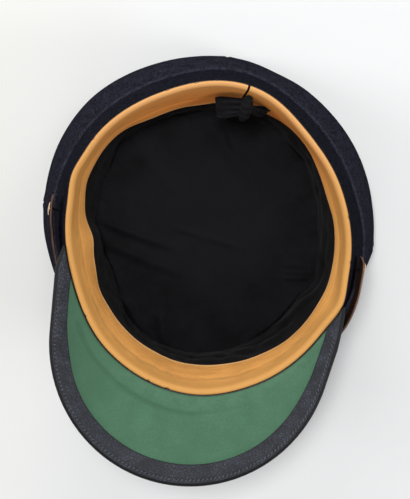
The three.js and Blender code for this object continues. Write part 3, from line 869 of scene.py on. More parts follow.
def green_finish(colours):
    """Thin green leather with a fine grain: dusty by the rim, with painted shade on the left, along the
    crease and in the rim's seam. The flow's u is the distance from the rim and its v that from the crease,
    in centimetres."""
    base = colours.green
    f = Finish("Green leather", specular_ior_level=0.2)
    u, v = f.flow()
    place = f.place()
    mottle = f.noise(place, 70, 5, 0.6)
    grain = f.noise(place, 1000, 4, 0.7)
    pits = f.cells(place, 900)
    tone = f.ease(mottle * 0.35 + grain * 0.65, 0.36, 0.64)
    body = f.shades(tone, base, 0.87, 1.13)
    dusty = f.ease(u, 1.3, 0.3) * f.ease(f.noise(place, 120, 4, 0.7), 0.4, 0.62)
    body = f.mix(dusty * 0.2, body, tint(base, 1.3, (0.035, 0.03, 0.03)))
    # painted shade: darker towards the left
    left = f.ease(f.axis(place, 0), -0.02, -0.07)
    body = f.mix(left * 0.6, body, tint(base, 0.72))
    # painted shade along the crease
    crease = f.ease(abs(v + (mottle - 0.5) * 0.15), 0.26, 0.02)
    body = f.mix(crease * 0.3, body, tint(base, 0.5))
    # painted shade: near black where the green sinks into the rim's seam
    f.set("Base Color", f.mix(f.ease(u, 0.03, 0.015), body, tint(base, 0.03)))
    f.set("Roughness", 0.6 + grain * 0.2)
    f.bump(grain * 0.5 + pits * 0.3 + mottle * 0.3, 0.5, 0.0002)
    return f.material


def peak_finish(colours):
    """Black peak leather: low pebbles between fine furrows, a little paler in patches."""
    base = colours.peak
    f = Finish("Black peak leather", specular_ior_level=0.3)
    place = f.place()
    furrow = f.cells(place, 420, "DISTANCE_TO_EDGE")
    patch = f.noise(place, 90, 5, 0.65)
    fine = f.noise(place, 700, 4, 0.7)
    f.set("Base Color", f.shades(f.ease(patch * 0.6 + fine * 0.4, 0.35, 0.65), base, 0.7, 1.5))
    f.set("Roughness", 0.35 + fine * 0.2)
    f.bump(furrow * 1.2 + fine * 0.3, 0.3, 0.0003)
    return f.material


def binding_finish(colours):
    """Slate binding leather: pebbles with painted shade in the furrows between them, pale specks, and
    painted shade, nearly black, where it turns round the peak's edge and in a thin line along its inner
    edge. The flow's u is the distance from the inner edge and its v that from the peak's edge, in
    centimetres."""
    base = colours.binding
    f = Finish("Slate binding leather", specular_ior_level=0.25)
    u, v = f.flow()
    place = f.place()
    furrow = f.cells(place, 620, "DISTANCE_TO_EDGE")
    patch = f.noise(place, 90, 5, 0.65)
    fine = f.noise(place, 850, 3, 0.75)
    body = f.shades(f.ease(patch, 0.35, 0.65), base, 0.75, 1.3)
    specks = f.ease(fine, 0.5, 0.62) * (0.35 + f.ease(patch, 0.4, 0.66) * 0.65)
    body = f.mix(specks * 0.75, body, tint(base, 3, (0.02, 0.027, 0.04)))
    # painted shade: near black round the peak's edge, in a thin line along the inner edge and in the furrows
    dark = f.ease(v, 0.2, 0.15) * 0.9 + f.ease(u, 0.07, 0.03) * 0.8 + f.ease(furrow, 0.14, 0.02) * 0.6
    f.set("Base Color", f.mix(dark, body, tint(base, 0.12)))
    f.set("Roughness", 0.5 + fine * 0.2)
    f.bump(furrow * 1.2 + fine * 0.6, 0.8, 0.0003)
    return f.material


def strap_finish(colours):
    """Brown strap leather. The flow's v runs across the strap from its upper edge; both cut edges are paler,
    and a painted highlight makes them paler still on the right."""
    f = Finish("Brown strap leather", specular_ior_level=0.2)
    _, v = f.flow()
    place = f.place()
    mottle = f.noise(place, 90, 4, 0.6)
    grain = f.noise(place, 1300, 3, 0.6)
    body = f.shades(f.ease(mottle, 0.3, 0.7), colours.strap, 0.75, 1.4)
    # painted highlight: the cut edges paler still on the right
    right = f.ease(f.axis(place, 0), 0.0, 0.05)
    cut = f.shades(right, colours.strap_edge, 0.8, 1.5)
    edge = f.ease(abs(v - 0.5), 0.486, 0.496) * (0.4 + f.ease(mottle, 0.35, 0.6) * 0.6)
    f.set("Base Color", f.mix(edge, body, cut))
    f.set("Roughness", 0.45 + grain * 0.2)
    f.bump(grain * 0.6 + mottle * 0.4, 0.4, 0.0003)
    return f.material


def brass_finish(colours):
    """Worn brass: polished on top, duller and browner in patches, on a shank painted near black, a painted
    shade between the strap and the band. The flow's v runs from the shank's foot to the top of the dome."""
    f = Finish("Worn brass", specular_ior_level=0.05)
    _, v = f.flow()
    place = f.place()
    patina = f.noise(place, 420, 4, 0.6)
    scratch = f.threads(place, 300, 300, 4000)
    body = f.mix(f.ease(patina, 0.42, 0.7) * 0.5, colours.brass, (0.3, 0.18, 0.11))
    # painted shade: the shank near black
    shank = f.ease(v, 0.16, 0.12)
    f.set("Base Color", f.mix(shank, body, (0.004, 0.004, 0.005)))
    f.set("Metallic", 1 - shank)
    f.set("Roughness", 0.2 + patina * 0.22 + shank * 0.5)
    f.bump(scratch, 0.12, 0.0001)
    return f.material


def ribbon_finish(colours):
    """Black ribbon with fine ribs across its width and a soft sheen."""
    f = Finish("Black ribbon", roughness=0.6, sheen_weight=0.01, specular_ior_level=0.13)
    u, _ = f.flow()
    ribs = f.node("Math", {"operation": "SINE"}, {0: u * 420})
    rubbed = f.noise(f.place(), 380, 4, 0.6)
    f.set("Base Color", f.shades(f.ease(rubbed, 0.4, 0.7), colours.ribbon, 0.7, 1.7))
    f.bump(ribs * 0.5 + rubbed * 0.4, 0.5, 0.0002)
    return f.material


def thread_finish(colours):
    """Twisted thread, greyed with wear."""
    f = Finish("Grey thread", roughness=0.7, sheen_weight=0.2)
    tone = f.noise(f.place(), 700, 3, 0.6)
    f.set("Base Color", f.shades(f.ease(tone, 0.35, 0.65), colours.thread, 0.6, 1.5))
    return f.material


def floor_finish(colours):
    """Pale matt floor with the faintest mottling, a little warmer on the left."""
    f = Finish("Pale floor", roughness=0.9, specular_ior_level=0.2)
    place = f.place()
    warm = f.ease(f.axis(place, 0), -0.03, -0.15)
    tone = f.noise(place, 9, 3, 0.5)
    plain = f.shades(tone, colours.floor, 0.97, 1.02)
    f.set("Base Color", f.mix(warm * 0.8, plain, tint(colours.floor, 1.0, (0.004, 0.0, -0.03))))
    return f.material


def crown_top_piece(form, finish):
    """The crown's top panel: flat where the cap lies on it, with a quarter-ellipse margin up to the seam."""
    sizes = form.sizes
    angle = ring(360)
    turn = np.radians(np.linspace(90, 0, 12))
    inner = np.linspace(1, 0, 14)[1:]

    def sheet(inset):
        edge = form.crown_edge(angle) - sizes.crown_round
        wide = sizes.crown_round - inset
        tall = CROWN_EDGE_HEIGHT - inset
        margin = edge + wide * np.sin(turn)
        radius = np.concatenate((margin, edge * inner), 1)
        rise = np.concatenate((inset + tall * (1 - np.cos(turn)), np.full(inner.size, inset)))
        return point(angle, radius, rise)

    face, back = sheet(0), sheet(sizes.wool)
    piece = wall_piece("wool_crown_top", face, back, finish, "crown_top", closed=True, merge=True)
    return piece


def crown_side_piece(form, finish):
    """The crown's side: from the top panel's seam it swells as a parabola and draws in to the welt. Its
    cloth turns under at both edges and stands up in a ridge along each seam."""
    sizes = form.sizes
    angle = ring(720)
    t = stations((0, 0.1, 5), (0.1, 0.9, 19), (0.9, 1, 6))
    low = CROWN_EDGE_HEIGHT + GAP
    high = form.rim_z(angle) - sizes.band_drop - sizes.welt_radius - GAP
    welt = form.band_face(angle, sizes.band_drop)
    swell = (sizes.crown_bulge + bumps(CROWN_SWELLS, angle, "side")) * 4 * t * (1 - t)
    plain = blend(form.crown_edge(angle), welt, t) + swell
    seam = apart(angle[..., None], CROWN_SEAMS["angle"])
    ridge = CROWN_SEAMS["ridge"] * bell(seam / SEAM_RIDGE)
    groove = CROWN_SEAMS["groove"] * bell(seam / SEAM_GROOVE)
    loose = np.sin(np.pi * t)
    ripple = waves(CLOTH_WAVES, angle) * loose + waves(CLOTH_WAVES, angle, 40) * loose * t
    tucked = MM * (bell(t / 0.035) + bell((1 - t) / 0.05))
    raised = MM * (ridge - groove).sum(-1) * (0.4 + 0.6 * loose)
    outer = plain + raised + ripple - tucked
    face = point(angle, outer, blend(low, high, t))
    back = point(angle, plain - sizes.wool, blend(low, high, t))
    piece = wall_piece("wool_crown_side", face, back, finish, "crown_side", closed=True)
    return piece


def welt_piece(form, finish):
    """The welt in the seam between crown and band: a circle carried round the cap, its radius wavering a
    little."""
    sizes = form.sizes
    angle = ring(720)
    turn = circle(14)
    middle = form.band_face(angle, sizes.band_drop)
    thick = sizes.welt_radius + waves(CLOTH_WAVES, angle * 3) * 0.2
    z = form.rim_z(angle) - sizes.band_drop
    points = point(angle, middle + thick * np.cos(turn), z + thick * np.sin(turn))
    faces, _ = lattice(*points.shape[:2], True, True)
    return make_piece("wool_welt", points, faces, finish, "piping")


def band_piece(form, finish):
    """The head band: it spreads evenly from under the folded leather down to the welt, its edges turned
    in."""
    sizes = form.sizes
    angle = ring(720)
    head = sizes.band_top
    foot = sizes.band_drop - sizes.welt_radius - GAP
    edge = 2 * MM
    drop = stations((head, head + edge, 6), (head + edge, foot - edge, 12), (foot - edge, foot, 5))
    share = (drop - head) / (foot - head)
    soft = 0.9 * MM
    tucked = MM * (0.7 * bell((drop - head) / soft) + 0.8 * bell((foot - drop) / soft))
    ripple = waves(CLOTH_WAVES, angle, 75) * 0.7 * np.sin(np.pi * share)
    face = point(angle, form.band_face(angle, drop) + ripple - tucked, form.rim_z(angle) - drop)
    back = point(angle, form.band_face(angle, drop) - sizes.band_wall, form.rim_z(angle) - drop)
    piece = wall_piece("wool_band", face, back, finish, "band", closed=True)
    return piece


def fold_path(form, thick):
    """The sweatband's fold in section, as distances in from the rim and depths below it: a quarter ellipse
    up to the crest and a longer one down to the face. thick is 0 for the face, and the leather's own for the
    back."""
    sizes = form.sizes
    crest = form.FOLD_EDGE + sizes.fold_lip
    foot = sizes.band_top - GAP if thick else sizes.fold_lip_drop
    up = np.radians(np.linspace(0, 90, 10))
    over = np.radians(np.linspace(0, FOLD_END, 17))[1:]
    inset = (crest - sizes.fold_lip * np.cos(up), crest + (sizes.fold_width - thick) * np.sin(over))
    drop = (blend(foot, thick, np.sin(up)), thick + (sizes.fold_drop - thick) * (1 - np.cos(over)))
    return np.concatenate(inset), np.concatenate(drop)


def sweatband_piece(form, finish):
    """The sweatband: leather folded over the rim, then a face that leans in to its free edge and swells a
    little on the way. Creases press into the face, seam notches into the fold, and its ends meet in a
    slanting join."""
    sizes = form.sizes
    join = SWEATBAND_JOIN
    half_gap = math.degrees(join["gap"] / 2 / form.rim(join["angle"]))
    angle = np.linspace(join["angle"] + half_gap, join["angle"] + 360 - half_gap, 900)[:, None]
    share = np.linspace(0, 1, 30)[1:]
    end_in, end_drop = (path[-1] for path in fold_path(form, 0))
    fall = blend(end_drop, sizes.sweatband_drop, share)
    lean = form.rim(angle) - form.free_edge(angle)
    flutter = waves(CLOTH_WAVES, angle, 15) * 0.8 * share**2
    straight = blend(end_in, lean, share) + sizes.belly * np.sin(np.pi * share) + flutter
    rows = SWEATBAND_CREASES
    across = bell((fall[:, None] / MM - rows["drop"]) / rows["width"])
    along = bell(apart(angle[..., None], rows["angle"]) / rows["reach"])
    crease = MM * (rows["depth"] * along * across).sum(-1)
    edge_round = FREE_EDGE_ROUND * bell((1 - share) / 0.02)

    def sheet(thick, pressed, nicked):
        fold_in, fold_drop = fold_path(form, thick)
        nick = nicked * bumps(RIM_NICKS, angle) * np.clip(1 - fold_in / NICK_REACH, 0, 1)
        inset = np.concatenate((fold_in + nick, straight - thick - pressed), 1)
        depth = np.concatenate((fold_drop + nick / 2, np.broadcast_to(fall, straight.shape)), 1)
        near = bell(apart(angle, join["angle"]) / join["reach"])
        slant = join["slant"] * depth / join["depth"] * near
        return point(angle + slant, form.rim(angle) - inset, form.rim_z(angle) - depth)

    face = sheet(0, crease + edge_round, 1)
    back = sheet(sizes.leather, 0, 0)
    fold_v = np.linspace(0, FOLD_SHARE, face.shape[1] - share.size)
    v = np.concatenate((fold_v, blend(FOLD_SHARE, 1, share)))
    flow = pairs(np.linspace(0, 1, angle.size)[:, None], v)
    return wall_piece("leather_sweatband", face, back, finish, "sweatband", flow=flow)


def puckers(angle):
    """Small puckers of the lining along the seam round its tip."""
    return waves(CLOTH_WAVES, angle * 4, 31) * 0.9


def lining_side_piece(form, finish):
    """The lining's side: it hangs behind the sweatband, then runs in a straight line to the tip's seam,
    pushed in by its gathers as half a sine wave, crumpled in arches and puckered along the seam."""
    sizes = form.sizes
    angle = ring(720)
    hung = np.linspace(0, 1, 8)[:-1, None]
    run = np.linspace(0, 1, 34)
    rows = LINING_CRUMPLES
    turn = np.pi * (rows["count"] * angle[..., None] / 360 + rows["climb"] * run[:, None]) + rows["start"]
    arch = MM * (rows["height"] * (np.abs(np.sin(turn)) - 0.6)).sum(-1)
    loose = np.sin(np.pi * run)
    push = bumps(LINING_GATHERS, angle) * loose + arch * loose**2 + puckers(angle) * run**3

    def sheet(out):
        behind_band = form.band_face(angle, LINING_TOP) - sizes.band_wall - GAP - sizes.lining + out
        top = point(angle, behind_band, form.rim_z(angle) - LINING_TOP)
        behind = form.free_edge(angle) + sizes.leather + LINING_ROOM + out
        edge = point(angle, behind, form.rim_z(angle) - sizes.sweatband_drop - sizes.leather)
        seam = form.tip_seam(angle, sizes.wool + GAP, out)
        fall = blend(edge, seam, run[:, None]) - point(angle, 1.0, 0.0) * push[..., None]
        return np.concatenate((blend(top, edge, hung), fall), 1)

    face, back = sheet(0), sheet(sizes.lining)
    piece = wall_piece("cloth_lining_side", face, back, finish, "lining_side", closed=True)
    return piece


def lining_tip_piece(form, finish):
    """The lining's tip: a round of loose cloth on the inside of the crown, with folds that are bell curves
    across straight lines and taper at their ends, and puckers along its seam."""
    sizes = form.sizes
    angle = ring(420)
    share = stations((1, 0.8, 24), (0.8, 0, 46))
    middle = np.array((form.TIP[0], form.TIP[1], 0))
    foot = sizes.wool + GAP
    flat = blend(middle, form.tip_seam(angle, 0.0, -GAP), share[:, None])
    place = flat[..., None, :2] / MM
    rows = TIP_FOLDS
    start = np.stack((rows["x0"], rows["y0"]), -1)
    run = np.stack((rows["x1"], rows["y1"]), -1) - start
    reach = np.linalg.norm(run, axis=-1)
    way = run / reach[:, None]
    off = place - start
    along = (off * way).sum(-1) / reach
    aside = off[..., 0] * way[:, 1] - off[..., 1] * way[:, 0]
    taper = smooth(along, -0.08, 0.2) * smooth(along, 1.15, 0.65)
    fold = MM * (rows["height"] * bell(aside / rows["width"]) * taper).sum(-1)
    sag = TIP_SAG * (1 - share**2) * (0.5 + 0.5 * np.cos(np.radians(angle * 3 + 50)) * share)
    rise = np.maximum(sag + fold + puckers(angle) * share**10, 0) * smooth(share, 1.0, 0.97)

    def sheet(z):
        return np.concatenate((flat[..., :2], (z + rise)[..., None]), -1)

    face = sheet(foot + sizes.lining)
    piece = wall_piece("cloth_lining_tip", face, sheet(foot), finish, "lining_tip", closed=True, merge=True)
    return piece


def peak_angles(form, count, past=0.0):
    """Angles of the peak's sections from corner to corner, closer together towards the corners: a straight
    line less a share of its cube. past is how far they run on beyond the corners."""
    share = np.linspace(-1, 1, count)[:, None]
    crowded = 0.25
    return (form.PEAK_HALF_ANGLE + past) * ((1 + crowded) * share - crowded * share**3)


def peak_lining_piece(form, finish):
    """The green underside: it follows the peak's slope, sinks at the rim's seam and is creased in a shallow
    trough that bends with the rim."""
    sizes = form.sizes
    angle = peak_angles(form, 320)
    end = form.peak_length(angle) - sizes.binding - GAP
    start = np.minimum(PEAK_SEAM["start"], end / 2)
    share = np.linspace(0, 1, 90) ** 1.3
    along = blend(start, end, share)
    fold = PEAK_CREASE
    crease_at = fold["along"] * np.clip(1 - (angle / fold["meets"]) ** 2, 0.05, 1)
    shown = smooth(angle, *fold["left"]) * smooth(angle, *fold["right"])
    crease = fold["depth"] * bell((along - crease_at) / fold["width"]) * shown
    roll = fold["roll_height"] * bell((along - crease_at / 2) / fold["roll_width"]) * shown
    sunk = PEAK_SEAM["depth"] * bell((along - start) / PEAK_SEAM["width"])
    wave = waves(CLOTH_WAVES, angle * 2, 12) * 0.5 * np.sin(np.pi * share)
    height = np.minimum(roll - crease - sunk + wave, GREEN_LIMIT)
    face = form.peak_point(angle, along, height)
    back = form.peak_point(angle, along, -sizes.peak_lining)
    from_crease = np.hypot((along - crease_at) / CM, 3 * (1 - shown))
    flow = pairs(along / CM, from_crease)
    return wall_piece("green_peak_lining", face, back, finish, "peak_lining", flow=flow)


def peak_layers(form):
    """Heights of the board's two faces below the green face."""
    top = -form.sizes.peak_lining - GAP
    return top, top - form.sizes.peak_board


def peak_top_piece(form, finish):
    """The peak's outer leather on its board: an even layer under the green lining that meets the band
    squarely and is gently rippled."""
    sizes = form.sizes
    angle = peak_angles(form, 260)
    end = form.peak_length(angle) - sizes.binding - GAP
    share = np.linspace(0, 1, 40)
    high, low = peak_layers(form)
    ripple = waves(CLOTH_WAVES, angle * 2, 90) * 0.4 * np.sin(np.pi * share)

    def sheet(height, lift):
        return form.peak_point(angle, blend(height * math.tan(sizes.peak_slope), end, share), height + lift)

    face = sheet(low, -np.abs(ripple))
    return wall_piece("leather_peak_top", face, sheet(high, 0), finish, "peak_top")


def binding_section(form, angle):
    """The binding's sections, outside and inside: flat along both faces and half an ellipse round the edge,
    thinner at the corners. Each is given as a distance up the slope and a height."""
    sizes = form.sizes
    high = GAP
    low = peak_layers(form)[1] - GAP
    middle = (high + low) / 2
    reach = form.peak_length(angle)
    start = form.binding_start(angle)
    nose = np.minimum(BINDING_NOSE, 0.7 * (reach - start))
    thinned = 0.4 + 0.6 * smooth(reach, 0.5 * MM, 3.5 * MM)
    flat = np.linspace(0, 1, 22)[:-1]
    turn = np.radians(np.linspace(90, -90, 17))

    def path(inset):
        half = (high - low) / 2 + (sizes.binding - inset) * thinned
        run = blend(start, reach - nose, flat)
        edge = reach - nose + (nose - np.minimum(inset, 0.6 * nose)) * np.cos(turn)
        along = np.concatenate((run, edge, run[:, ::-1]), 1)
        row = np.concatenate((np.ones(flat.size), np.sin(turn), -np.ones(flat.size)))
        return along, middle + half * row

    return path(0.0), path(sizes.binding)


def binding_piece(form, finish):
    """The binding: leather folded over the peak's edge. Both faces swell a little across their width, and
    the thread pulls a shallow groove along the stitches."""
    angle = peak_angles(form, 420, 1.4)
    (along, height), (inner_along, inner_height) = binding_section(form, angle)
    reach = form.peak_length(angle)
    start = form.binding_start(angle)
    side = np.sign(height - height.mean())
    share = np.clip((along - start) / (reach - start), 0, 1)
    puffed = BINDING_PUFF * np.sin(np.pi * share)
    pulled = STITCH["pull"] * bell((reach - along - STITCH["inset"]) / STITCH["groove"])
    flat = np.clip((reach - BINDING_NOSE - along) / MM, 0, 1)
    face = form.peak_point(angle, along, height + side * (puffed - pulled) * flat)
    back = form.peak_point(angle, inner_along, inner_height)
    flow = pairs((along - start) / CM, (reach - along) / CM)
    return wall_piece("leather_binding", face, back, finish, "peak_binding", flow=flow)


def stitches(starts, ends, raised, thick):
    """Stitches as short tubes from start to end that arch over the leather along raised and thin out at both
    ends. starts, ends and raised have a row for each stitch."""
    t = np.linspace(0, 1, 7)[:, None]
    turn = circle(6)
    run = ends - starts
    way = run / np.linalg.norm(run, axis=-1, keepdims=True)
    side = np.cross(way, raised)
    middle = blend(starts[:, None], ends[:, None], t) + raised[:, None] * thick * 1.1 * np.sin(np.pi * t)
    width = thick * np.sqrt(np.clip(1 - (2 * t - 1) ** 4, 0.04, 1))
    around_it = side[:, None] * np.cos(turn)[:, None] + raised[:, None] * np.sin(turn)[:, None]
    points = middle[:, :, None] + width[:, :, None] * around_it[:, None]
    faces, _ = loft(points[0])
    step = np.arange(len(points))[:, None, None] * points.shape[1] * points.shape[2]
    return points.reshape(-1, 3), (faces + step).reshape(-1, 4)


def binding_stitches_piece(form, finish):
    """A row of slanting stitches along each face of the binding, spaced evenly along the peak's edge."""
    sizes = form.sizes
    pitch = sizes.stitch_pitch
    inset, slant = STITCH["inset"], STITCH["slant"]
    fine = peak_angles(form, 4000)[:, 0]
    room = form.peak_length(fine) - form.binding_start(fine)
    kept = fine[room > 2.5 * inset]
    line = form.peak_point(kept, form.peak_length(kept) - inset, 0.0)
    run = np.concatenate(((0,), np.cumsum(np.linalg.norm(np.diff(line, axis=0), axis=-1))))
    places = np.arange(pitch, run[-1] - pitch, pitch)
    at = np.interp(places, run, kept)
    step = np.interp(places + 0.5 * pitch, run, kept)
    under = GAP + sizes.binding
    outer = peak_layers(form)[1] - GAP - sizes.binding
    rows = []
    for height, way in ((under, 1.0), (outer, -1.0)):
        first = form.peak_point(at, form.peak_length(at) - inset + slant, height)
        last = form.peak_point(step, form.peak_length(step) - inset - slant, height)
        raised = form.peak_point(at, 0.0, height + way) - form.peak_point(at, 0.0, height)
        rows.append(stitches(first, last, raised, STITCH["thick"]))
    points, faces = merged(rows)
    return make_piece("binding_stitches", points, faces, finish)


def chin_strap_piece(form, finish):
    """The chin strap: a flat strip that follows the band at its stand-off, with a rounded-off section, a
    pressed line inside each edge and half-elliptical ends."""
    sizes = form.sizes
    angle = np.linspace(STRAP["from"], STRAP["to"], 320)[:, None]
    to_end = np.minimum(angle - STRAP["from"], STRAP["to"] - angle)
    reach = np.radians(to_end) * form.rim(angle) + STRAP["blunt"]
    share = np.clip(reach / STRAP["end_round"], 0, 1)
    half = sizes.strap_width / 2 * np.sqrt(1 - (1 - share) ** 2)
    border = STRAP["border"]
    across = stations((-1, -border, 6), (-border, border, 22), (border, 1, 6))
    past = np.clip((np.abs(across) - border) / (1 - border), 0, 1)
    rounded = np.sqrt(1 - past**2)
    line = bell((np.abs(across) - STRAP_LINE["at"]) / STRAP_LINE["width"])
    pressed = STRAP_LINE["depth"] * line * share
    thick = sizes.strap_thickness / 2
    middle = form.strap_face(angle, half * across) + thick
    z = form.rim_z(angle) - sizes.strap_drop - half * across
    face = point(angle, middle + thick * rounded - pressed, z)
    back = point(angle, middle - thick * rounded, z)
    flow = pairs(np.radians(angle) * 0.1, (across + 1) / 2)
    return wall_piece("leather_chin_strap", face, back, finish, "chin_strap", flow=flow)


def button_piece(form, finish, node, angle):
    """A side button turned about its shank: a flat collar, a short edge and a low half-elliptical dome."""
    sizes = form.sizes
    off = float(between(STRAP_PLACE, "off", angle))
    lean = float(between(STRAP_PLACE, "lean", angle))
    lift = off + sizes.strap_thickness
    edge = BUTTON_EDGE
    tall = sizes.button_height - edge
    rise = np.radians(np.linspace(0, 90, 20))
    shank = pairs(np.array((0, 1, 1)) * sizes.shank_radius, np.array((0, 0, 1)) * lift)
    collar = pairs(sizes.button_radius - np.array((1, 0.3)) * edge, lift + np.array((0, 0.3)) * edge)
    dome = pairs(sizes.button_radius * np.cos(rise), lift + edge + tall * np.sin(rise))
    profile = np.concatenate((shank, collar, dome))
    profile[-1, 0] = 0
    way = Vector(point(angle, sizes.strap_width, lean)).normalized()
    foot = point(angle, form.band_face(angle, sizes.strap_drop) + GAP, form.rim_z(angle) - sizes.strap_drop)
    basis = np.array(Vector((0, 0, 1)).rotation_difference(way).to_matrix())
    round_it = circle(48)[:, None]
    across = profile[:, 0]
    local = np.broadcast_arrays(across * np.cos(round_it), across * np.sin(round_it), profile[:, 1])
    points = np.stack(local, -1) @ basis.T + foot
    faces, places = lattice(*points.shape[:2], True, False)
    flow = places / np.array(points.shape[:2])
    return make_piece("brass_" + node, points, faces, finish, node, flow, merge=True)


def bow_basis(form):
    """The bow's place on the leather and its own axes: along the band, up to the rim and off the leather."""
    sizes = form.sizes
    angle = BOW["angle"]
    lean = float(form.rim(angle) - form.fold_in() - form.free_edge(angle))
    slope = math.atan2(lean, sizes.sweatband_drop - sizes.fold_drop)
    off = point(angle, -math.cos(slope), math.sin(slope))
    up = point(angle, math.sin(slope), math.cos(slope))
    face = point(angle, form.sweatband_face(angle, BOW["drop"]), form.rim_z(angle) - BOW["drop"])
    return face + off * BOW["off"], np.stack((np.cross(up, off), up, off))


def turned(points, axis, degrees):
    """Points turned about one of their own axes."""
    return points @ np.array(Matrix.Rotation(math.radians(degrees), 3, axis)).T


def bow_loop(reach, ribbon, loft_height, tilt, turn, rise):
    """A loop of ribbon in the bow's own axes: a flattened teardrop from the knot out and back, gathered in
    pleats at the knot, then tilted and turned about it. Sizes in millimetres and degrees."""
    t = np.linspace(0, 1, 61)[:, None]
    across = np.linspace(-1, 1, 25)
    out = np.sin(np.pi * t) ** 1.1
    swell = np.sin(2 * np.pi * t) * (0.55 + 0.45 * out)
    wide = ribbon / 2 * np.where(across > 0, 1, 0.7 + 0.3 * smooth(out, 0, 0.75))
    pleat = 0.5 * np.cos(3.5 * np.pi * across) * (1 - out) ** 1.5
    crumple = 0.35 * np.sin(5 * across + 9 * out) * out * np.sin(np.pi * t)
    dip = -0.35 * (1 - across**2) * out * swell
    loop = np.broadcast_arrays(reach * out, wide * across, loft_height / 2 * swell + pleat + dip + crumple)
    side = math.copysign(1, reach)
    points = turned(np.stack(loop, -1), "X", -tilt)
    points = turned(turned(points, "Z", -side * turn), "Y", -side * rise)
    return MM * points


def bow_knot():
    """The knot: a short barrel of ribbon round the bow's middle, ribbed by its pleats and closed at both
    ends."""
    t = np.linspace(0, 1, 33)
    turn = circle(40)[:, None]
    barrel = np.sin(np.pi * t) ** 0.4
    ribs = 0.94 + 0.06 * np.cos(9 * np.pi * t) + 0.06 * np.sin(3 * turn + 5 * t)
    radius = KNOT["radius"] * barrel * ribs
    sides = np.broadcast_arrays(radius * np.cos(turn), (t - 0.5) * KNOT["length"], radius * np.sin(turn))
    return turned(np.stack(sides, -1), "X", -KNOT["tilt"])


def bow_piece(form, finish):
    """The ribbon bow at the sweatband's join: two loops and the knot that holds them, in one piece."""
    seat, axes = bow_basis(form)
    knot = bow_knot()
    grids = [(knot, *lattice(*knot.shape[:2], True, False))]
    for row in zip(*BOW_LOOPS.values()):
        sheet = bow_loop(*row)
        half = normals(sheet) * BOW["layer"] / 2
        section = np.concatenate((sheet + half, (sheet - half)[:, ::-1]), 1)
        grids.append((section, *loft(section)))
    shells = [(grid.reshape(-1, 3), faces) for grid, faces, _ in grids]
    points, faces = merged([(cloud, outward(cloud, faces)) for cloud, faces in shells])
    flow = np.concatenate([places / RIBBON_FLOW for _, _, places in grids])
    return make_piece("ribbon_bow", points @ axes + seat, faces, finish, "bow", flow, merge=True)


def cap_settings(context):
    """The cap's form and colours, from the sidebar."""
    return Form(context.scene.cap_sizes), context.scene.cap_colours


class CAP_OT_wool(Operator):
    """Makes the crown, the welt and the band in navy wool"""

    bl_idname = "cap.wool"
    bl_label = "Wool crown and band"
    bl_options = {"REGISTER", "UNDO"}

    def execute(self, context):
        form, colours = cap_settings(context)
        finish = wool_finish("Navy wool", colours.wool)
        crown_top_piece(form, finish)
        crown_side_piece(form, finish)
        # painted shade: the band in a darker copy of the wool
        band_piece(form, wool_finish("Band wool with painted shade", tint(colours.wool, BAND_SHADE_GAIN)))
        # painted highlight: the welt in a paler copy of the wool
        welt_piece(form, wool_finish("Welt wool with painted highlight", tint(colours.wool, WELT_HIGHLIGHT_GAIN)))
        return {"FINISHED"}


class CAP_OT_sweatband(Operator):
    """Makes the folded tan sweatband"""

    bl_idname = "cap.sweatband"
    bl_label = "Sweatband"
    bl_options = {"REGISTER", "UNDO"}

    def execute(self, context):
        form, colours = cap_settings(context)
        sweatband_piece(form, tan_finish(colours))
        return {"FINISHED"}


class CAP_OT_bow(Operator):
    """Makes the ribbon bow at the sweatband's join"""

    bl_idname = "cap.bow"
    bl_label = "Bow"
    bl_options = {"REGISTER", "UNDO"}

    def execute(self, context):
        form, colours = cap_settings(context)
        bow_piece(form, ribbon_finish(colours))
        return {"FINISHED"}


class CAP_OT_lining(Operator):
    """Makes the lining's gathered side and its round tip"""

    bl_idname = "cap.lining"
    bl_label = "Lining"
    bl_options = {"REGISTER", "UNDO"}

    def execute(self, context):
        form, colours = cap_settings(context)
        finish = lining_finish(colours)
        lining_side_piece(form, finish)
        lining_tip_piece(form, finish)
        return {"FINISHED"}


class CAP_OT_peak(Operator):
    """Makes the peak's green lining and outer leather"""

    bl_idname = "cap.peak"
    bl_label = "Peak"
    bl_options = {"REGISTER", "UNDO"}

    def execute(self, context):
        form, colours = cap_settings(context)
        peak_lining_piece(form, green_finish(colours))
        peak_top_piece(form, peak_finish(colours))
        return {"FINISHED"}


class CAP_OT_binding(Operator):
    """Makes the peak's binding and its stitches"""

    bl_idname = "cap.binding"
    bl_label = "Binding"
    bl_options = {"REGISTER", "UNDO"}

    def execute(self, context):
        form, colours = cap_settings(context)
        binding_piece(form, binding_finish(colours))
        binding_stitches_piece(form, thread_finish(colours))
        return {"FINISHED"}


class CAP_OT_strap(Operator):
    """Makes the chin strap and its two buttons"""

    bl_idname = "cap.strap"
    bl_label = "Chin strap and buttons"
    bl_options = {"REGISTER", "UNDO"}

    def execute(self, context):
        form, colours = cap_settings(context)
        chin_strap_piece(form, strap_finish(colours))
        brass = brass_finish(colours)
        for node, angle in BUTTON_ANGLES.items():
            button_piece(form, brass, node, angle)
        return {"FINISHED"}


def photo_camera(stage, rim_height):
    """The camera's matrix: it looks along a line leaned to the back and turned in the picture's plane, from
    where the rim's middle falls on its place in the picture."""
    up = np.array((math.sin(stage.side), math.sin(stage.lean), 0.0))
    up[2] = math.sqrt(1 - up @ up)
    level = np.array((0.0, 1.0, 0.0))
    level = level - up * (level @ up)
    level /= np.linalg.norm(level)
    across = np.cross(level, up)
    right = math.cos(stage.turn) * across + math.sin(stage.turn) * level
    rise = math.cos(stage.turn) * level - math.sin(stage.turn) * across
    scale = stage.distance / stage.focal
    aside = (PICTURE["rim_x"] - PICTURE["width"] / 2) * scale
    below = (PICTURE["rim_y"] - PICTURE["height"] / 2) * scale
    eye = np.array((0.0, 0.0, rim_height)) - aside * right + below * rise + stage.distance * up
    return Matrix([[*(axis[k] for axis in (right, rise, up)), eye[k]] for k in range(3)] + [[0, 0, 0, 1]])


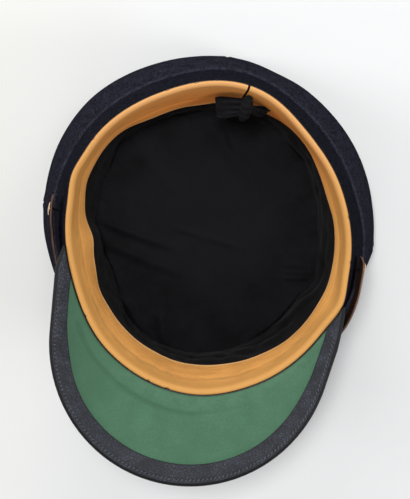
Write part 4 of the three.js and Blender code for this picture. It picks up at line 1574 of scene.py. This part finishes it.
class CAP_OT_stage(Operator):
    """Makes the floor, the light and the camera"""

    bl_idname = "cap.stage"
    bl_label = "Stage"

    def execute(self, context):
        scene = context.scene
        stage = scene.cap_stage
        self.floor(scene, scene.cap_colours)
        self.light(scene, stage)
        lens = bpy.data.cameras.new("Camera")
        lens.sensor_width = 36
        lens.lens = stage.focal / PICTURE["height"] * lens.sensor_width
        camera = bpy.data.objects.new("Camera", lens)
        scene.collection.objects.link(camera)
        camera.matrix_world = photo_camera(stage, scene.cap_sizes.rim_height)
        scene.camera = camera
        scene.view_settings.view_transform = "Standard"
        return {"FINISHED"}

    def floor(self, scene, colours):
        """A wide flat floor at the height on which the cap lies."""
        line = np.linspace(-FLOOR_REACH, FLOOR_REACH, 9)
        x, y = np.meshgrid(line, line)
        faces, _ = lattice(line.size, line.size)
        mesh = bpy.data.meshes.new("floor")
        mesh.from_pydata(np.stack((x, y, 0 * x), -1).reshape(-1, 3), [], faces[:, ::-1])
        mesh.materials.append(floor_finish(colours))
        made = bpy.data.objects.new("floor", mesh)
        scene.collection.objects.link(made)

    def light(self, scene, stage):
        """Soft lights round the cap, the strongest from high at the back, and even light from all round."""
        for turn, rise, size, share in zip(*LIGHTS.values()):
            lamp = bpy.data.lights.new("Soft light", "AREA")
            lamp.size = size
            lamp.energy = share * stage.lamps * (math.pi * LIGHT_DISTANCE) ** 2
            made = bpy.data.objects.new("Soft light", lamp)
            scene.collection.objects.link(made)
            height = math.sin(math.radians(rise))
            made.location = LIGHT_DISTANCE * point(turn, math.cos(math.radians(rise)), height)
            made.rotation_mode = "QUATERNION"
            made.rotation_quaternion = (-made.location).to_track_quat("-Z", "Y")
        world = bpy.data.worlds.new("Studio")
        world.use_nodes = True
        sky = world.node_tree.nodes["Background"]
        sky.inputs["Color"].default_value = SKY_COLOUR
        sky.inputs["Strength"].default_value = stage.sky
        scene.world = world


OPERATORS = (
    CAP_OT_wool,
    CAP_OT_sweatband,
    CAP_OT_bow,
    CAP_OT_lining,
    CAP_OT_peak,
    CAP_OT_binding,
    CAP_OT_strap,
    CAP_OT_stage,
)


class CAP_PT_pieces(Panel):
    """Lists the cap's pieces, sizes and colours"""

    bl_idname = "CAP_PT_pieces"
    bl_label = "Peaked cap"
    bl_space_type = "VIEW_3D"
    bl_region_type = "UI"
    bl_category = "Cap"

    def draw(self, context):
        for made in OPERATORS:
            self.layout.operator(made.bl_idname)
        for group in (context.scene.cap_sizes, context.scene.cap_colours, context.scene.cap_stage):
            box = self.layout.box()
            for name in group.__annotations__:
                box.prop(group, name)


GROUPS = {"cap_sizes": CapSizes, "cap_colours": CapColours, "cap_stage": CapStage}
CLASSES = (*GROUPS.values(), *OPERATORS, CAP_PT_pieces)


def register():
    """Adds the classes, and the settings to the scene."""
    for made in CLASSES:
        bpy.utils.register_class(made)
    for name, group in GROUPS.items():
        setattr(bpy.types.Scene, name, PointerProperty(type=group))


def unregister():
    """Takes the settings and the classes away again."""
    for name in GROUPS:
        delattr(bpy.types.Scene, name)
    for made in reversed(CLASSES):
        bpy.utils.unregister_class(made)


def main():
    register()
    bpy.ops.cap.wool()
    bpy.ops.cap.sweatband()
    bpy.ops.cap.bow()
    bpy.ops.cap.lining()
    bpy.ops.cap.peak()
    bpy.ops.cap.binding()
    bpy.ops.cap.strap()
    bpy.ops.cap.stage()
    bpy.context.view_layer.update()


if __name__ == "__main__":
    main()
